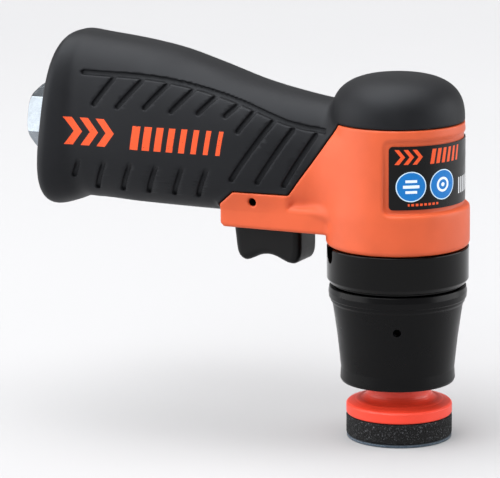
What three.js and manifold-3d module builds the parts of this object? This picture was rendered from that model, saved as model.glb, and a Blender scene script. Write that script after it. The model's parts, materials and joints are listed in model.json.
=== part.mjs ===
// Pistol-grip air sander with a small random-orbit pad.
// Millimetres. +Z up, +X towards the nose, mirror plane Y = 0. The origin is where the motor's axis meets the
// pad's working face. The handle runs back along -X, square to the motor's axis.
//
// How it comes apart: the pad unscrews from the spindle, the shroud pulls off the lock ring, the lock ring
// unscrews from the housing and the whole vane motor drops out with the balancer. The inlet bushing unscrews
// from the rear, which frees the exhaust cover, the felt and the screen. The roll pin lets the trigger out,
// and behind the trigger a retaining ring holds the throttle valve's sleeve.
import * as THREE from "three";
import { mergeVertices } from "three/addons/utils/BufferGeometryUtils.js";
import Module from "manifold-3d";

const wasm = await Module();
wasm.setup();

// ---------------------------------------------------------------- driving dimensions
const GAP = 0.3; // between neighbouring pieces
const LARGE = 28; // sides of a large round
const MEDIUM = 16;
const SMALL = 12;
const AROUND_HANDLE = 20;
const WIRE = 5; // sides of a wire or an O-ring's section
const BEYOND = 60; // how far a cutter reaches past the object
const FAR_BACK = -180; // X well behind the object

const ORBIT = 1.2; // the pad's axis lies this far off the motor's axis, along +Y

// The head, from the bottom up.
const PAD_RADIUS = 16;
const HOOK_TOP = 0.8;
const FOAM = [HOOK_TOP + GAP, 7.1];
const PLATE_BOTTOM = FOAM[1] + GAP;
const PLATE_RIM = 10.8;
const HUB = { radius: 9.6, top: 21.8 };
const SHROUD = { bottom: 17.8, top: 47.2, wall: 2 };
const SKIRT = { low: 17.1, high: 19.6 }; // the shroud's radius near its bottom and under its bead
const LOCK = { bottom: 43.9, shoulder: 48.2, top: 59.3, radius: 21.3, thread: 18.6, threadTop: 66.4 };
const HEAD = { bottom: 59.5, radius: 21.5, straightTop: 71, capLine: 97, capRadius: 19.9, top: 110.9 };
const HEAD_CHAMFER = { in: 0.4, up: 0.6 };
const CAP_INSIDE_BOTTOM = 90; // the cap's core starts inside the motor bay's wall
const DOME_POWER = 2.75;
const MOTOR_BAY = { radius: 17.8, bottom: 66.8, top: 95.4, upperRadius: 15.9, upperTop: 102.3 };
const SHAFT_END_ROOM = { radius: 9, top: 105.2 };
const LABEL = { radius: 19.6, bottom: 72, top: 93.8, halfAngle: THREE.MathUtils.degToRad(79) };
const LABEL_MARGIN = 1.5; // from the nameplate's edge to its recess's
const RUBBER = 2.4; // thickness of the moulded rubber

// The handle's outline. Each row is one station along X, with the power of its superellipse.
const STATIONS = [
  { x: -113.5, top: 118.3, bottom: 64.4, half: 18.7, power: 2.8 },
  { x: -109, top: 118.7, bottom: 63.9, half: 19.0, power: 2.8 },
  { x: -105.5, top: 118.5, bottom: 65.2, half: 18.4, power: 2.7 },
  { x: -102.5, top: 118.0, bottom: 66.7, half: 17.4, power: 2.6 },
  { x: -98, top: 117.6, bottom: 66.9, half: 17.3, power: 2.6 },
  { x: -85, top: 116.3, bottom: 66.4, half: 17.7, power: 2.5 },
  { x: -72, top: 114.2, bottom: 66.1, half: 17.6, power: 2.4 },
  { x: -60, top: 110.8, bottom: 66.0, half: 17.1, power: 2.4 },
  { x: -45, top: 106.5, bottom: 65.9, half: 16.2, power: 2.4 },
  { x: -30, top: 103.4, bottom: 65.9, half: 14.3, power: 2.4 },
  { x: -18, top: 101.6, bottom: 66.0, half: 13.2, power: 2.4 },
  { x: -6, top: 100.4, bottom: 66.0, half: 13.0, power: 2.4 },
];
const HANDLE_END = STATIONS[0].x;
const END_ROUNDING = 4;
// The rear end leans: its top lies forward of its bottom, and the lean has gone by this X.
const LEAN = 0.146;
const LEAN_END = -96;

// The trigger block under the handle, and the edge where rubber gives way to bare housing.
const BLOCK = {
  rear: -53.2,
  bottom: 62.8,
  top: 74.1,
  half: 13,
  shoulder: -48,
  rearTop: 69.8,
  ledge: 70,
  ledgeStart: -30.2,
};
const BLOCK_FRONT = -5; // inside the head
const EDGE = { low: [BLOCK.ledgeStart, BLOCK.top], high: [-12.6, HEAD.capLine] };

// The throttle: trigger, roll pin and a poppet valve on a vertical axis.
const TRAVEL = 2.6;
const TRIGGER = { rear: -52, front: -29.5, top: 63.4, half: 6.8, play: 0.35 };
const GUIDE = { rear: -47, front: -33, top: 75, half: 4.8 }; // the trigger's upper part
const PIN = { x: -41.9, z: 71.2, radius: 1.25, half: 9 };
const VALVE_X = -38;
const VALVE_BORE = 6.5;
const SLEEVE = { radius: 6.2, bottom: 78.9, floor: 81.6, ledge: 87.6, top: 100.2, bore: 4.6, throat: 2.9 };
const SLEEVE_GROOVES = [81.2, 87];
const STEM_RADIUS = 1.25;
const FEED_Z = 83.8;
const CAP_BOTTOM = 98.5;

// The inlet, on an axis along X.
const INLET_Z = 90.4;
const HEX = { outer: -121.5, inner: -115.4, acrossFlats: 19, turn: THREE.MathUtils.degToRad(18) };
const BUSHING = { radius: 8.8, inner: -100, bore: 6.2, boreEnd: -108.5, throat: 4.2 };
const PASSAGE = { screenRadius: 7.8, screenEnd: -93, radius: 5 }; // from the bushing to the valve
const MUFFLER = { inner: 10.8, outer: 14, end: -98.6 };
const COVER = { back: -111.5, front: -109.1, inner: 9.2, slots: 10, slotWidth: 1.5, slotReach: 1.9 };
const COVER_SEAT = -108.8;
const FELT_INSET = 0.3;
const REAR_OPENING = 13.9;
const BUMPER_SEAM = -105; // X where the grip meets the rear bumper
const EXHAUST = { y: 9.2, z: 80.5, radius: 2.1 };

// The motor: bearings as [bottom, top] on the shaft.
const SHAFT = 4;
const RACE_BORE = 4.1;
const LOWER_BEARING = { span: [66.9, 72.7], radius: 9.5 };
const UPPER_BEARING = { span: [97.2, 102], radius: 8 };
const SPINDLE_BEARINGS = [[42, 47.6], [50, 55.6]];
const SPINDLE_BEARING_RADIUS = 9.5;
const LINER = { bottom: 75.3, top: 95.3, radius: 15.6, bore: 12.4, shift: 0.9 };
const ROTOR_RADIUS = 11.2;
const DOWEL = { x: 14, radius: 1, play: 0.3, sides: 10 };
const VANES = 4;
const BALLS = 7;

// ---------------------------------------------------------------- materials
const finish = (color, roughness, metalness = 0) =>
  new THREE.MeshStandardMaterial({ color, roughness, metalness });
const ORANGE = finish(0xf0613a, 0.45);
const RUBBER_BLACK = finish(0x2b2c2e, 0.7);
const GLOSS_BLACK = finish(0x141415, 0.2);
const SATIN_BLACK = finish(0x222325, 0.5);
const STEEL = finish(0xb9bcc0, 0.3, 1);
const DARK_STEEL = finish(0x6f7276, 0.4, 1);
const ALUMINIUM = finish(0xa8abae, 0.4, 1);
const BRASS = finish(0xb08d4a, 0.35, 1);
const SEAL = finish(0x111111, 0.6);
const PAD_RED = finish(0xe84a30, 0.4);
const FOAM_GREY = finish(0x1d1e20, 0.95);
const HOOK_GREY = finish(0x9fb0b8, 0.9);
const FELT = finish(0x8d8a80, 1);
const VANE_BROWN = finish(0x6b4a2c, 0.6);
const LABEL_BLACK = finish(0x101011, 0.3);

// ---------------------------------------------------------------- solids from three.js geometry
/** A closed three.js geometry as a manifold solid with its faces pointing out. */
function solid(geometry) {
  const bare = geometry.index ? geometry.toNonIndexed() : geometry.clone();
  bare.deleteAttribute("normal");
  bare.deleteAttribute("uv");
  const merged = mergeVertices(bare, 1e-4);
  const corners = merged.index.array;
  const kept = [];
  for (let i = 0; i < corners.length; i += 3) {
    const [a, b, c] = [corners[i], corners[i + 1], corners[i + 2]];
    if (a !== b && b !== c && a !== c) kept.push(a, b, c);
  }
  const build = (triVerts) =>
    new wasm.Manifold(
      new wasm.Mesh({
        numProp: 3,
        vertProperties: merged.attributes.position.array,
        triVerts: new Uint32Array(triVerts),
      }),
    );
  const made = build(kept);
  return made.volume() > 0 ? made : build(kept.reverse());
}

/** A manifold solid as a geometry that three.js can draw. */
function geometryOf(made) {
  const mesh = made.getMesh();
  const geometry = new THREE.BufferGeometry()
    .setAttribute("position", new THREE.BufferAttribute(mesh.vertProperties, 3))
    .setIndex(new THREE.BufferAttribute(mesh.triVerts, 1))
    .toNonIndexed();
  geometry.computeVertexNormals();
  return geometry;
}

/** A profile of [radius, height] pairs turned about Z. An end off the axis closes on the first point. */
function turned(profile, sides = MEDIUM) {
  const points = profile.map(([r, h]) => new THREE.Vector2(r, h));
  const closesOnAxis = profile[0][0] === 0 && profile.at(-1)[0] === 0;
  if (!closesOnAxis) points.push(points[0].clone());
  return new THREE.LatheGeometry(points, sides).rotateX(Math.PI / 2);
}

const turnedSolid = (profile, sides) => solid(turned(profile, sides));
const disc = (radius, low, high, sides) =>
  turnedSolid([[0, low], [radius, low], [radius, high], [0, high]], sides);
const ring = (inner, outer, low, high, sides) =>
  turnedSolid([[inner, low], [outer, low], [outer, high], [inner, high]], sides);

/** A ring of round section lying flat, for O-rings. */
const oRing = (radius, section, height, sides = MEDIUM) =>
  solid(new THREE.TorusGeometry(radius, section, WIRE, sides).translate(0, 0, height));

/** A box between two corners. */
function box([x0, y0, z0], [x1, y1, z1]) {
  const made = new THREE.BoxGeometry(x1 - x0, y1 - y0, z1 - z0);
  return solid(made.translate((x0 + x1) / 2, (y0 + y1) / 2, (z0 + z1) / 2));
}

/** A round bar along X, Y or Z through a point, from low to high on that axis. */
function bar(axis, radius, low, high, [a, b], sides = SMALL) {
  const made = new THREE.CylinderGeometry(radius, radius, high - low, sides);
  const middle = (low + high) / 2;
  if (axis === "x") return solid(made.rotateZ(Math.PI / 2).translate(middle, a, b));
  if (axis === "y") return solid(made.translate(a, middle, b));
  return solid(made.rotateX(Math.PI / 2).translate(a, b, middle));
}

/** A solid turned about the inlet's axis: profile heights run along X. */
function turnedOnInlet(profile, sides) {
  return solid(turned(profile, sides).rotateY(Math.PI / 2).translate(0, 0, INLET_Z));
}

/** An outline of [x, z] points, extruded across the object from -half to +half. */
function slab(outline, half) {
  const shape = new THREE.Shape(outline.map(([x, z]) => new THREE.Vector2(x, z)));
  const made = new THREE.ExtrudeGeometry(shape, { depth: 2 * half, bevelEnabled: false });
  return solid(made.translate(0, 0, -half).rotateX(Math.PI / 2));
}

const joined = (...parts) => parts.reduce((whole, part) => whole.add(part));
const cut = (body, ...tools) => tools.reduce((whole, tool) => whole.subtract(tool), body);

// ---------------------------------------------------------------- the outside shape
/** One of the handle's measures at x, smooth between the stations. */
const measures = Object.fromEntries(
  ["top", "bottom", "half", "power"].map((key) => {
    const curve = new THREE.CubicInterpolant(
      STATIONS.map((s) => s.x),
      STATIONS.map((s) => s[key]),
      1,
    );
    return [key, (x) => curve.evaluate(x)[0]];
  }),
);

/** The handle's section at x, a superellipse, drawn in by inset all round. */
function section(x, inset) {
  const top = measures.top(x) - inset;
  const bottom = measures.bottom(x) + inset;
  const half = measures.half(x) - inset;
  const soft = (value) => Math.sign(value) * Math.abs(value) ** (2 / measures.power(x));
  const lean = LEAN * THREE.MathUtils.smoothstep(LEAN_END - x, 0, LEAN_END - HANDLE_END);
  return Array.from({ length: AROUND_HANDLE }, (_, i) => {
    const angle = (2 * Math.PI * i) / AROUND_HANDLE;
    const y = half * soft(Math.cos(angle));
    const z = (top + bottom) / 2 + ((top - bottom) / 2) * soft(Math.sin(angle));
    return [x + lean * (z - INLET_Z), y, z];
  });
}

/** A skin over rings of equal length, with a fan over each end. */
function loft(rings) {
  const count = rings[0].length;
  const position = rings.flat(2);
  const index = [];
  for (let i = 0; i + 1 < rings.length; i++) {
    for (let j = 0; j < count; j++) {
      const a = i * count + j;
      const b = i * count + ((j + 1) % count);
      index.push(a, b, a + count, b, b + count, a + count);
    }
  }
  for (const [start, turn] of [[0, 1], [(rings.length - 1) * count, -1]]) {
    for (let j = 1; j + 1 < count; j++) {
      const fan = [start, start + j + (turn > 0 ? 1 : 0), start + j + (turn > 0 ? 0 : 1)];
      index.push(...fan);
    }
  }
  return new THREE.BufferGeometry()
    .setAttribute("position", new THREE.Float32BufferAttribute(position, 3))
    .setIndex(index);
}

/** The handle, drawn in by inset, with its rear edge rounded. */
function handle(inset) {
  const end = HANDLE_END + inset;
  const rounding = END_ROUNDING - inset;
  const rings = [0, 0.15, 0.5].map((share) => {
    const depth = share * rounding;
    const drawnIn = rounding - Math.sqrt(rounding ** 2 - (rounding - depth) ** 2);
    return section(end + depth, inset + drawnIn);
  });
  const stations = STATIONS.map((s) => s.x).filter((x) => x > end + rounding - 1);
  return solid(loft([...rings, ...stations.map((x) => section(x, inset))]));
}

/** The cap's dome as [radius, height] pairs from its rim to its top, drawn in by inset. */
function dome(inset, steps = 9) {
  return Array.from({ length: steps + 1 }, (_, i) => {
    const angle = (Math.PI / 2) * (i / steps);
    const r = (HEAD.capRadius - inset) * Math.cos(angle) ** (2 / DOME_POWER);
    const h = (HEAD.top - HEAD.capLine - inset) * Math.sin(angle) ** (2 / DOME_POWER);
    return [i === steps ? 0 : r, HEAD.capLine + h];
  });
}

const headOutside = () =>
  turnedSolid(
    [
      [0, HEAD.bottom],
      [HEAD.radius - HEAD_CHAMFER.in, HEAD.bottom],
      [HEAD.radius, HEAD.bottom + HEAD_CHAMFER.up],
      [HEAD.radius, HEAD.straightTop],
      ...dome(0),
    ],
    LARGE,
  );
const capInside = (inset) =>
  turnedSolid([[0, CAP_INSIDE_BOTTOM], [HEAD.capRadius - inset, CAP_INSIDE_BOTTOM], ...dome(inset)], LARGE);

/** The block that carries the trigger, from its rear corner into the head. */
const triggerBlock = () =>
  slab(
    [
      [BLOCK.rear + 1, BLOCK.bottom],
      [BLOCK_FRONT, BLOCK.bottom - 0.2],
      [BLOCK_FRONT, BLOCK.ledge],
      [BLOCK.ledgeStart, BLOCK.ledge],
      [BLOCK.ledgeStart - 0.4, BLOCK.top],
      [BLOCK.shoulder, BLOCK.top],
      [BLOCK.rear, BLOCK.rearTop],
      [BLOCK.rear, BLOCK.bottom + 1],
    ],
    BLOCK.half,
  );

/** The region that is covered with rubber, as a slab. Shift moves its edge into the rubber. */
function rubberSide(shift) {
  const [lowX, lowZ] = EDGE.low;
  const [highX, highZ] = EDGE.high;
  return slab(
    [
      [BLOCK.rear - shift, BLOCK.bottom - BEYOND],
      [BLOCK.rear - shift, BLOCK.rearTop],
      [BLOCK.shoulder, lowZ + shift],
      [lowX - shift, lowZ + shift],
      [highX - shift, highZ + shift],
      [BEYOND, highZ + shift],
      [BEYOND, HEAD.top + BEYOND],
      [HANDLE_END - BEYOND, HEAD.top + BEYOND],
      [HANDLE_END - BEYOND, BLOCK.bottom - BEYOND],
    ],
    BEYOND,
  );
}

const outside = joined(handle(0), headOutside(), triggerBlock());

// ---------------------------------------------------------------- housing, rubber, nameplate
/** A ring sector centred on +X, for the nameplate and its recess. */
function frontSector(inner, outer, low, high, halfAngle) {
  const shape = new THREE.Shape();
  shape.absarc(0, 0, outer, -halfAngle, halfAngle, false);
  shape.absarc(0, 0, inner, halfAngle, -halfAngle, true);
  const options = { depth: high - low, bevelEnabled: false, curveSegments: 18 };
  const made = new THREE.ExtrudeGeometry(shape, options);
  return solid(made.translate(0, 0, low));
}

/** The room for one part of the trigger, open at the bottom. */
function triggerRoom({ rear, front, half }, top) {
  const play = TRIGGER.play;
  return box([rear - play, -half - play, BLOCK.bottom - 5], [front + play, half + play, top]);
}

function housing() {
  const core = joined(handle(RUBBER), capInside(RUBBER));
  const bare = cut(outside, rubberSide(-GAP / 2));
  const { radius, bottom, top, upperRadius, upperTop } = MOTOR_BAY;
  return cut(
    joined(bare, core),
    turnedSolid(
      [
        [0, bottom - 10],
        [LOCK.thread + GAP, bottom - 10],
        [LOCK.thread + GAP, bottom],
        [radius, bottom],
        [radius, top],
        [upperRadius, top],
        [upperRadius, upperTop],
        [SHAFT_END_ROOM.radius, upperTop],
        [SHAFT_END_ROOM.radius, SHAFT_END_ROOM.top],
        [0, SHAFT_END_ROOM.top],
      ],
      LARGE,
    ),
    turnedOnInlet([
      [0, FAR_BACK],
      [BUSHING.radius + GAP, FAR_BACK],
      [BUSHING.radius + GAP, -99],
      [PASSAGE.screenRadius, -99],
      [PASSAGE.screenRadius, PASSAGE.screenEnd],
      [PASSAGE.radius, PASSAGE.screenEnd],
      [PASSAGE.radius, VALVE_X],
      [0, VALVE_X],
    ]),
    turnedOnInlet([
      [MUFFLER.inner, FAR_BACK],
      [MUFFLER.outer, FAR_BACK],
      [MUFFLER.outer, MUFFLER.end],
      [MUFFLER.inner, MUFFLER.end],
    ]),
    turnedOnInlet([[0, FAR_BACK], [MUFFLER.outer, FAR_BACK], [MUFFLER.outer, COVER_SEAT], [0, COVER_SEAT]]),
    bar("x", EXHAUST.radius, MUFFLER.end - 1, -12, [EXHAUST.y, EXHAUST.z], 12),
    bar("x", EXHAUST.radius, MUFFLER.end - 1, -12, [-EXHAUST.y, EXHAUST.z], 12),
    bar("z", VALVE_BORE, BLOCK.bottom - 5, 100.5, [VALVE_X, 0], MEDIUM),
    bar("x", 2.7, VALVE_X, -15, [0, FEED_Z], 12),
    triggerRoom(TRIGGER, TRIGGER.top + TRAVEL + 0.4),
    triggerRoom(GUIDE, GUIDE.top + TRAVEL + 0.4),
    bar("y", PIN.radius + GAP, -BEYOND, BEYOND, [PIN.x, PIN.z]),
    frontSector(LABEL.radius, BEYOND, LABEL.bottom, LABEL.top, LABEL.halfAngle),
  );
}

/** All the rubber: the grip with its cap over the head, and the bumper round the rear. */
function rubber() {
  const skinInside = joined(handle(RUBBER - GAP), capInside(RUBBER - GAP));
  const skin = outside.intersect(rubberSide(GAP / 2));
  const opening = bar("x", REAR_OPENING, FAR_BACK, BUMPER_SEAM, [0, INLET_Z], MEDIUM);
  return cut(skin, skinInside, opening, headOutside().intersect(disc(40, 50, HEAD.capLine - GAP / 2)));
}

/** Everything behind the plane X = x. */
const behind = (x) => box([FAR_BACK, -BEYOND, 0], [x, BEYOND, HEAD.top + BEYOND]);

const gripOvermold = () => cut(rubber(), behind(BUMPER_SEAM + GAP / 2));
const rearBumper = () => rubber().intersect(behind(BUMPER_SEAM - GAP / 2));

const nameplate = () =>
  frontSector(
    LABEL.radius + 0.1,
    LABEL.radius + 0.45,
    LABEL.bottom + LABEL_MARGIN,
    LABEL.top - LABEL_MARGIN,
    LABEL.halfAngle - LABEL_MARGIN / LABEL.radius,
  );

// ---------------------------------------------------------------- lock ring and shroud
function lockRing() {
  const body = turnedSolid(
    [
      [16, LOCK.bottom],
      [LOCK.thread - 0.2, LOCK.bottom],
      [LOCK.thread - 0.2, 47.5],
      [19.8, 47.5],
      [19.8, LOCK.shoulder],
      [20.6, LOCK.shoulder],
      [LOCK.radius, 49.6],
      [LOCK.radius, LOCK.top],
      [LOCK.thread, LOCK.top],
      [LOCK.thread, LOCK.threadTop],
      [14, LOCK.threadTop],
      [14, 64],
      [16, 64],
    ],
    LARGE,
  );
  const notch = box([-2.3, -30, 57], [2.3, -19.4, 65]);
  const foot = bar("y", 2.3, -30, -19.4, [0, 57]);
  const spanner = joined(notch, foot);
  const turns = [-49, 131].map((degrees) => spanner.rotate([0, 0, degrees]));
  return cut(body, ...turns);
}

function shroud() {
  const wall = SHROUD.wall;
  const body = turnedSolid(
    [
      [15.2, SHROUD.bottom],
      [SKIRT.low - 0.6, SHROUD.bottom],
      [SKIRT.low - 0.2, 18.2],
      [SKIRT.low, 21.5],
      [SKIRT.high, 41.6],
      [20.8, 43.3],
      [20.8, SHROUD.top],
      [LOCK.thread + 0.1, SHROUD.top],
      [LOCK.thread + 0.1, 43.5],
      [SKIRT.high - wall, 42.6],
      [SKIRT.high - wall, 41.6],
      [SKIRT.low - wall, 21.5],
    ],
    LARGE,
  );
  const lockingHole = bar("y", 1.2, -30, -10, [0, 36.3], 12).rotate([0, 0, 22.5]);
  return cut(body, lockingHole);
}

// ---------------------------------------------------------------- inlet and exhaust
function inletBushing() {
  const across = HEX.acrossFlats;
  const corner = across / Math.sqrt(3);
  const hexagon = new THREE.CylinderGeometry(corner, corner, HEX.inner - HEX.outer, 6)
    .rotateY(HEX.turn)
    .rotateZ(Math.PI / 2)
    .translate((HEX.outer + HEX.inner) / 2, 0, INLET_Z);
  const chamfer = turnedOnInlet([
    [0, HEX.outer],
    [across / 2 - 0.1, HEX.outer],
    [across / 2 + 1.6, HEX.outer + 1],
    [across / 2 + 1.6, HEX.inner],
    [0, HEX.inner],
  ]);
  const thread = turnedOnInlet([
    [0, HEX.inner - 0.5],
    [BUSHING.radius, HEX.inner - 0.5],
    [BUSHING.radius, -103.8],
    [7.9, -103.8],
    [7.9, -102.4],
    [BUSHING.radius, -102.4],
    [BUSHING.radius, BUSHING.inner],
    [0, BUSHING.inner],
  ]);
  const bore = turnedOnInlet([
    [0, HEX.outer - 5],
    [BUSHING.bore + 0.7, HEX.outer - 5],
    [BUSHING.bore + 0.7, HEX.outer],
    [BUSHING.bore, HEX.outer + 0.8],
    [BUSHING.bore, BUSHING.boreEnd],
    [BUSHING.throat, BUSHING.boreEnd + 1],
    [BUSHING.throat, BUSHING.inner + 5],
    [0, BUSHING.inner + 5],
  ]);
  return cut(joined(solid(hexagon).intersect(chamfer), thread), bore);
}

/** A gauze cup with its flange, closed towards the valve. */
const inletScreen = () =>
  turnedOnInlet([
    [3.9, -98.7],
    [7.4, -98.7],
    [7.4, -97.9],
    [4.4, -97.9],
    [4.4, -87],
    [0, -86.4],
    [0, -87],
    [3.9, -87.5],
  ], SMALL);

const inletORing = () =>
  solid(
    new THREE.TorusGeometry(8.45, 0.42, WIRE, MEDIUM).rotateY(Math.PI / 2).translate(-103.1, 0, INLET_Z),
  );

function exhaustCover() {
  const { back, front, inner, slots: count, slotWidth, slotReach } = COVER;
  const outer = REAR_OPENING - 0.4;
  const plate = turnedOnInlet([[inner, back], [outer, back], [outer, front], [inner, front]]);
  const slots = Array.from({ length: count }, (_, i) => {
    const angle = (2 * Math.PI * (i + 0.5)) / count;
    const slot = new THREE.BoxGeometry(8, slotWidth, slotReach).translate(0, 0, (inner + outer) / 2 + 0.4);
    return solid(slot.rotateX(angle).translate((back + front) / 2, 0, INLET_Z));
  });
  return cut(plate, ...slots);
}

function mufflerFelt() {
  const [inner, outer] = [MUFFLER.inner + FELT_INSET, MUFFLER.outer - FELT_INSET];
  const [back, front] = [COVER_SEAT + 0.1, MUFFLER.end - 0.4];
  return turnedOnInlet([[inner, back], [outer, back], [outer, front], [inner, front]]);
}

// ---------------------------------------------------------------- throttle
function trigger() {
  const bevel = 1.2;
  const outline = new THREE.Shape();
  const [rear, front, top] = [TRIGGER.rear + bevel, TRIGGER.front - bevel, TRIGGER.top];
  outline.moveTo(rear, top);
  outline.lineTo(rear + 0.9, 56);
  outline.quadraticCurveTo(rear + 1.1, 53.1, -47.8, 53);
  outline.bezierCurveTo(-45.3, 53, -44, 55, -40.4, 55);
  outline.bezierCurveTo(-37, 55, -35.4, 52.8, -32.9, 52.7);
  outline.quadraticCurveTo(front - 0.1, 52.7, front, 55.7);
  outline.lineTo(front, top);
  const finger = new THREE.ExtrudeGeometry(outline, {
    depth: 2 * (TRIGGER.half - bevel),
    bevelThickness: bevel,
    bevelSize: bevel,
    bevelSegments: 2,
    curveSegments: 5,
  });
  const body = solid(finger.translate(0, 0, bevel - TRIGGER.half).rotateX(Math.PI / 2));
  const flatTop = box([-BEYOND, -BEYOND, TRIGGER.top], [BEYOND, BEYOND, TRIGGER.top + 10]);
  const guide = box([GUIDE.rear, -GUIDE.half, 60], [GUIDE.front, GUIDE.half, GUIDE.top]);
  const play = PIN.radius + GAP;
  const pinSlot = box([PIN.x - play, -10, PIN.z - TRAVEL], [PIN.x + play, 10, PIN.z]);
  const slotEnds = [PIN.z - TRAVEL, PIN.z].map((z) => bar("y", play, -10, 10, [PIN.x, z]));
  return cut(joined(cut(body, flatTop), guide), pinSlot, ...slotEnds);
}

const triggerPin = () =>
  cut(
    bar("y", PIN.radius, -PIN.half, PIN.half, [PIN.x, PIN.z]),
    bar("y", 0.7, -PIN.half - 1, PIN.half + 1, [PIN.x, PIN.z]),
  );

function valveSleeve() {
  const { radius, bottom, floor, ledge, top, bore, throat } = SLEEVE;
  const groove = (z) => ring(5.35, radius + 1, z - 0.6, z + 0.6);
  return cut(
    disc(radius, bottom, top),
    disc(1.6, bottom - 1, floor + 1, SMALL),
    disc(2.65, 79.7, 80.9, SMALL),
    disc(bore, floor, ledge - 1.2),
    disc(throat, floor, ledge + 1, SMALL),
    disc(bore, ledge, top + 1),
    bar("x", 2.9, -10, 0, [0, INLET_Z + 1], 12),
    bar("x", 1.9, 0, 10, [0, FEED_Z], 12),
    ...SLEEVE_GROOVES.map(groove),
  );
}

/** The poppet: a stem that the trigger pushes, the valve head, and a nose that centres the spring. */
const valvePoppet = () =>
  turnedSolid(
    [
      [0, GUIDE.top + GAP],
      [STEM_RADIUS, GUIDE.top + GAP],
      [STEM_RADIUS, 89],
      [3.9, 89],
      [3.9, 91],
      [1.5, 91],
      [1.5, 93],
      [0, 93],
    ],
    SMALL,
  );

function valveSpring() {
  const [low, high, turns, radius] = [91.75, 97.85, 4, 2.9];
  class Helix extends THREE.Curve {
    getPoint(t, target = new THREE.Vector3()) {
      const angle = 2 * Math.PI * turns * t;
      return target.set(radius * Math.cos(angle), radius * Math.sin(angle), low + (high - low) * t);
    }
  }
  const wire = new THREE.Shape().absarc(0, 0, 0.35, 0, 2 * Math.PI);
  return solid(
    new THREE.ExtrudeGeometry(wire, { steps: 9 * turns, extrudePath: new Helix(), curveSegments: 3 }),
  );
}

/** Carries air from the sleeve's lower window to the motor's inlet port. */
function airFeedTube() {
  const [start, end, outer, inner] = [-31.2, -16, 2.4, 1.7];
  const tube = (radius, past) => bar("x", radius, start - past, end + past, [0, FEED_Z]);
  return cut(tube(outer, 0), tube(inner, 1));
}

// ---------------------------------------------------------------- motor
/** A ball bearing as its outer race, its inner race and the balls in their cage. */
function bearing([low, high], outer) {
  const pitch = (RACE_BORE + outer) / 2;
  const ball = Math.min(high - low, outer - RACE_BORE) * 0.3;
  const running = 0.82; // the share of that radius left once the faceted races have room to turn
  const middle = (low + high) / 2;
  const shoulder = 0.45 * ball + GAP;
  const grooveHalf = 0.85 * ball;
  const race = (face, back) =>
    turnedSolid([
      [face, low],
      [back, low],
      [back, high],
      [face, high],
      [face, middle + grooveHalf],
      [pitch + Math.sign(face - pitch) * (ball + 0.1), middle],
      [face, middle - grooveHalf],
    ]);
  const balls = Array.from({ length: BALLS }, (_, i) => {
    const angle = (2 * Math.PI * i) / BALLS;
    const made = new THREE.IcosahedronGeometry(ball * running);
    return solid(made.translate(pitch * Math.cos(angle), pitch * Math.sin(angle), middle));
  });
  const cage = ring(pitch - 0.3, pitch + 0.3, middle - 0.5 * ball, middle + 0.5 * ball, SMALL);
  return {
    outer: race(pitch + shoulder, outer),
    inner: race(pitch - shoulder, RACE_BORE),
    balls: joined(cage, ...balls),
  };
}

const dowelHole = (low, high) =>
  bar("z", DOWEL.radius + DOWEL.play, low, high, [DOWEL.x, 0], DOWEL.sides);

function frontEndPlate() {
  const radius = MOTOR_BAY.radius - GAP;
  const profile = [
    [LOWER_BEARING.radius + GAP, 66.7],
    [radius, 66.7],
    [radius, 69.2],
    [15.9, 69.2],
    [15.9, 71.2],
    [radius, 71.2],
    [radius, 73.2],
    [LINER.radius, 73.2],
    [LINER.radius, 75],
    [5, 75],
    [5, 73],
    [LOWER_BEARING.radius + GAP, 73],
  ];
  return cut(turnedSolid(profile, LARGE), dowelHole(74, 80));
}

const rearEndPlate = () =>
  turnedSolid(
    [
      [5, 95.6],
      [LINER.radius, 95.6],
      [LINER.radius, 102],
      [UPPER_BEARING.radius + GAP, 102],
      [UPPER_BEARING.radius + GAP, 97],
      [5, 97],
    ],
    LARGE,
  );

/** The motor's cylinder: a bore off the rotor's axis, an inlet port at the back and exhaust slots. */
function cylinderLiner() {
  const body = disc(LINER.radius, LINER.bottom, LINER.top, LARGE);
  const bore = bar("z", LINER.bore, LINER.bottom - 1, LINER.top + 1, [-LINER.shift, 0], LARGE);
  const exhaustSlots = [78.5, 82.2, 85.9, 89.6].flatMap((z) => [
    box([4, -20, z], [9, -9, z + 1.8]),
    box([4, 9, z], [9, 20, z + 1.8]),
  ]);
  const inletPort = bar("x", 2, -20, -10, [0, FEED_Z]);
  return cut(body, bore, inletPort, dowelHole(LINER.bottom - 1, LINER.bottom + 3), ...exhaustSlots);
}

function rotor() {
  const [low, high] = [75.6, 95];
  const slots = Array.from({ length: VANES }, (_, i) =>
    box([6, -0.75, low - 1], [ROTOR_RADIUS + 1, 0.75, high + 1]).rotate([0, 0, (360 * i) / VANES + 45]),
  );
  const keyway = box([0, -0.8, low - 1], [5.4, 0.8, high + 1]);
  return cut(ring(SHAFT + 0.1, ROTOR_RADIUS, low, high), keyway, ...slots);
}

/** The motor shaft with its eccentric cup for the spindle bearings and the counterweight opposite. */
function shaftBalancer() {
  const moved = (geometry) => solid(geometry.translate(0, ORBIT, 0));
  const shaft = turnedSolid(
    [
      [0, 60],
      [13, 60],
      [13, 63.9],
      [5.6, 63.9],
      [5.6, 66.4],
      [SHAFT, 66.6],
      [SHAFT, 104.2],
      [0, 104.2],
    ],
  );
  const cup = moved(turned([[0, 38], [12.4, 38], [12.4, 62], [0, 62]]));
  const weight = disc(14.6, 46, 62).intersect(box([-20, -20, 40], [20, -3.5, 70]));
  const pocket = moved(
    turned([[0, 37], [SPINDLE_BEARING_RADIUS + GAP, 37], [SPINDLE_BEARING_RADIUS + GAP, 59.6], [0, 59.6]]),
  );
  const keySeat = box([SHAFT - 1.2, -0.8, 80], [SHAFT + 2, 0.8, 91]);
  const clipGroove = ring(SHAFT - 0.6, SHAFT + 1, 102.9, 103.7);
  return cut(joined(shaft, cup, weight), pocket, keySeat, clipGroove);
}

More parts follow.
